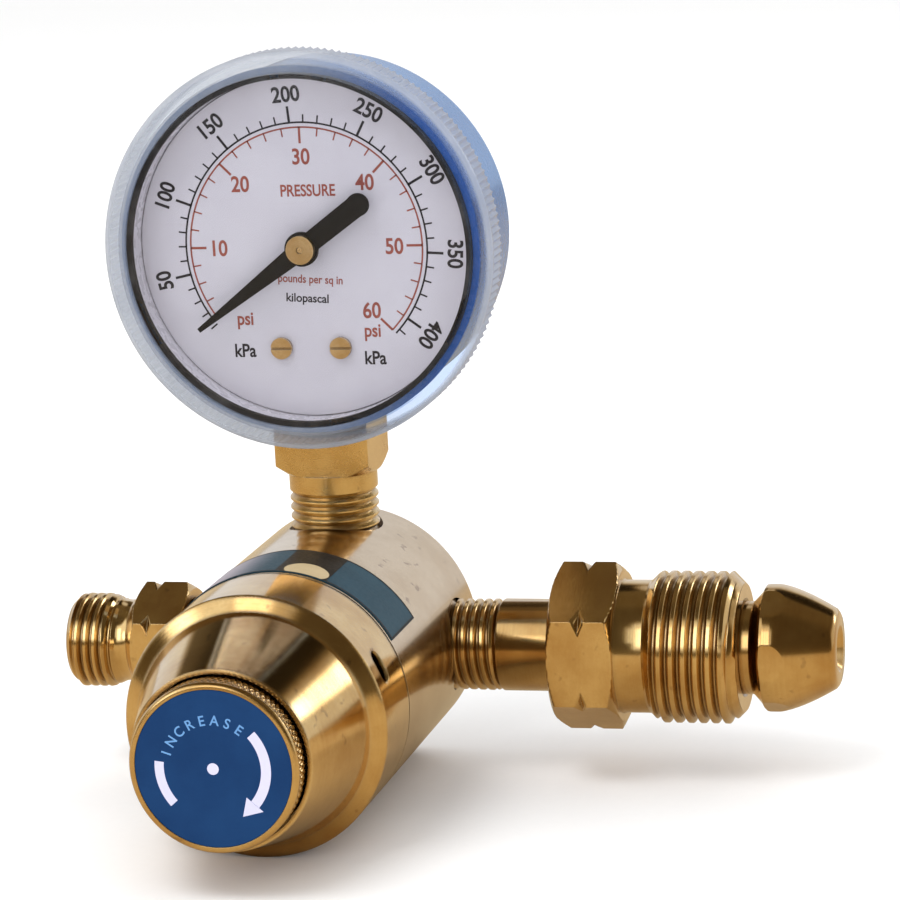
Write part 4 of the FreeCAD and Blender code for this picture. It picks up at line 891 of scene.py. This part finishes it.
def wrap(name, outline, lift, material, rows):
    """Thin print on the round body; outline(part) gives (front, rear, degrees) for a share of its width."""
    points = []
    faces = []
    for i in range(rows + 1):
        front, rear, degrees = outline(i / rows)
        turn = math.radians(degrees)
        reach = BODY_RADIUS + (0.12 + lift) * MM
        for station in (front, rear):
            points.append((BODY_AXIS_X + reach * math.sin(turn), station * MM, reach * math.cos(turn)))
    for i in range(rows):
        a = 2 * i
        faces.append((a, a + 2, a + 3, a + 1))
    mesh = bpy.data.meshes.new(name)
    mesh.from_pydata(points, [], faces)
    for polygon in mesh.polygons:
        polygon.use_smooth = True
    mesh.materials.append(material)
    obj = bpy.data.objects.new(name, mesh)
    bpy.context.scene.collection.objects.link(obj)
    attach(obj, "regulator")


def label_print():
    """Black borders, a dark centre field and a plain cream oval on the teal wrap."""
    low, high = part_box("body_label")
    front, rear = in_mm(low.y), in_mm(high.y)
    half = 61.3
    line = 0.45
    oval_middle, oval_half = 12.7, 9.8
    oval_radius = 3.3
    oval_station = front + 2.1

    def edge(start, end):
        return lambda part: (start, end, -half + 2 * half * part)

    def end(side):
        return lambda part: (front, rear, side * (half - 0.9 * part))

    def field(part):
        return (front + line, rear - line, 23 * part)

    def oval(part):
        spread = math.sqrt(max(0.0, 1 - (2 * part - 1) ** 2))
        return (max(front + 0.1, oval_station - oval_radius * spread), oval_station + oval_radius * spread,
                oval_middle - oval_half + 2 * oval_half * part)

    black = MATERIALS["label_black"]
    wrap("label_border_front", edge(front, front + line), 0.02, black, 90)
    wrap("label_border_rear", edge(rear - line, rear), 0.02, black, 90)
    wrap("label_border_left", end(-1), 0.02, black, 2)
    wrap("label_border_right", end(1), 0.02, black, 2)
    wrap("label_field", field, 0.02, black, 40)
    wrap("label_oval", oval, 0.04, MATERIALS["label_cream"], 48)


label_print()


# ---------------------------------------------------------------- stage, light and camera


def stage_floor():
    low = cad_box[0]
    size = 6.0
    points = [(-size, -size, 0), (size, -size, 0), (size, size, 0), (-size, size, 0)]
    mesh = bpy.data.meshes.new("floor")
    mesh.from_pydata(points, [], [(0, 1, 2, 3)])
    floor = bpy.data.objects.new("floor", mesh)
    floor.location.z = low.z - 0.02 * MM
    bpy.context.scene.collection.objects.link(floor)
    material, g = new_material("floor_paper")
    grain = g.noise(g.place(), 700, 3.0, 0.6)
    tint = g.blend(grain, rgb(0.95, 0.95, 0.95), rgb(0.92, 0.92, 0.92))
    # Painted reflection: mirror rays see the floor as a warm brown instead of white.
    mirrored = g.node("ShaderNodeLightPath").outputs["Is Glossy Ray"]
    tint = g.blend(mirrored, tint, rgb(0.50, 0.38, 0.22))
    g.finish(Base_Color=tint, Roughness=0.9, Normal=g.bump(grain, 0.02 * MM, 0.2))
    floor.data.materials.append(material)


def studio_world():
    """Plain white room; mirror reflections instead see windows, a dark ceiling and a patterned rear wall."""
    world = bpy.data.worlds.new("studio")
    bpy.context.scene.world = world
    world.cycles.sampling_method = "NONE"
    g = Graph(world)
    ray = g.node("ShaderNodeTexCoord").outputs["Generated"]
    x, y, z = g.split(ray)

    def times(a, b):
        return g.math("MULTIPLY", a, b)

    def fall(value, start, end):
        """1 below the start, fading to 0 at the end."""
        return g.step(value, start, end, 1.0, 0.0)

    def patch(towards, wide, narrow):
        """1 inside a soft round patch of sky; the two angles in degrees are its outer and inner edge."""
        middle_ray = Vector(towards).normalized()
        cosine = g.vector("DOT_PRODUCT", ray, tuple(middle_ray), "Value")
        return g.step(cosine, math.cos(math.radians(wide)), math.cos(math.radians(narrow)))

    strip = times(g.step(z, 0.31, 0.35), fall(z, 0.66, 0.78))
    strip = times(strip, fall(x, 0.0, 0.12))
    from_window = g.math("ABSOLUTE", g.math("ADD", x, 0.24))
    window = times(g.step(z, 0.18, 0.26), fall(z, 0.66, 0.74))
    window = times(window, fall(from_window, 0.10, 0.18))
    left = times(g.step(x, -0.84, -0.74), fall(x, -0.12, 0.02))
    left = times(left, times(g.step(z, 0.08, 0.2), fall(z, 0.74, 0.86)))
    front_level = g.math("ADD", g.step(z, -0.05, 0.3, 0.16, 0.10), times(strip, 0.8))
    front_level = g.math("MAXIMUM", front_level, times(window, 2.8))
    front_level = g.math("MAXIMUM", front_level, times(left, 1.15))
    rear_level = g.step(z, 0.36, 0.66, 0.80, 0.15)
    level = g.node("ShaderNodeMix", {0: fall(y, -0.25, 0.05), 2: rear_level, 3: front_level},
                   data_type="FLOAT").outputs[0]

    dark_left = patch((-0.43, 0.76, 0.48), 16, 10)
    dark_middle = patch((0.05, 0.70, 0.71), 15, 9)
    dark_right = patch((0.31, 0.70, 0.64), 18, 11)
    dark = g.math("MAXIMUM", g.math("MAXIMUM", dark_left, dark_middle), dark_right)
    level = times(level, g.math("SUBTRACT", 1.0, times(dark, 0.85)))
    bright_spots = [((0.655, 0.678, 0.333), 9, 5, 3.6), ((-0.24, 0.69, 0.68), 11, 4, 0.6),
                    ((-0.70, -0.637, 0.33), 13, 6, 1.8)]
    for towards, wide, narrow, strength in bright_spots:
        level = g.math("ADD", level, times(patch(towards, wide, narrow), strength))

    warmth = g.blend(g.step(level, 0.1, 0.8), rgb(1.0, 0.75, 0.42), rgb(1.0, 0.985, 0.97))
    shade = g.node("ShaderNodeBackground", {0: warmth, 1: level})
    plain = g.node("ShaderNodeBackground", {0: rgb(1, 1, 1), 1: 1.06})
    mirrored = g.node("ShaderNodeLightPath").outputs["Is Glossy Ray"]
    both = g.node("ShaderNodeMixShader", {0: mirrored, 1: plain.outputs[0], 2: shade.outputs[0]})
    g.node("ShaderNodeOutputWorld", {"Surface": both.outputs[0]})


def area_light(name, place, target, size, power):
    data = bpy.data.lights.new(name, "AREA")
    data.shape = "RECTANGLE"
    data.size, data.size_y = size
    data.energy = power
    lamp = bpy.data.objects.new(name, data)
    lamp.location = place
    lamp.rotation_mode = "QUATERNION"
    lamp.rotation_quaternion = (Vector(target) - Vector(place)).to_track_quat("-Z", "Y")
    lamp.visible_glossy = False
    bpy.context.scene.collection.objects.link(lamp)


def lights():
    centre = (cad_box[0] + cad_box[1]) / 2
    area_light("key_softbox", centre + Vector((-0.25, -0.35, 0.75)), centre, (0.5, 0.35), 3.0)
    area_light("side_strip", centre + Vector((0.75, -0.35, 0.10)), centre, (0.10, 0.5), 0.8)
    area_light("rear_fill", centre + Vector((0.1, 0.7, 0.55)), centre, (0.8, 0.4), 1.5)


def camera():
    """Long lens a little above the object and to its right, rolled slightly."""
    data = bpy.data.cameras.new("view")
    data.sensor_width = 36
    data.lens = 154.7
    data.clip_start = 0.01
    data.clip_end = 50
    view = bpy.data.objects.new("view", data)
    bpy.context.scene.collection.objects.link(view)
    target = CROSSING + Vector((18.453, 0, 29.696)) * MM
    azimuth, elevation, roll = (math.radians(v) for v in (14.283, 11.884, 2.986))
    distance = 573.32 * MM
    back = Vector((math.sin(azimuth) * math.cos(elevation), -math.cos(azimuth) * math.cos(elevation),
                   math.sin(elevation)))
    view.location = target + back * distance
    view.rotation_mode = "QUATERNION"
    level = back.to_track_quat("Z", "Y")
    view.rotation_quaternion = level @ Matrix.Rotation(-roll, 3, "Z").to_quaternion()
    bpy.context.scene.camera = view


stage_floor()
studio_world()
lights()
camera()
bpy.context.scene.view_settings.view_transform = "Standard"
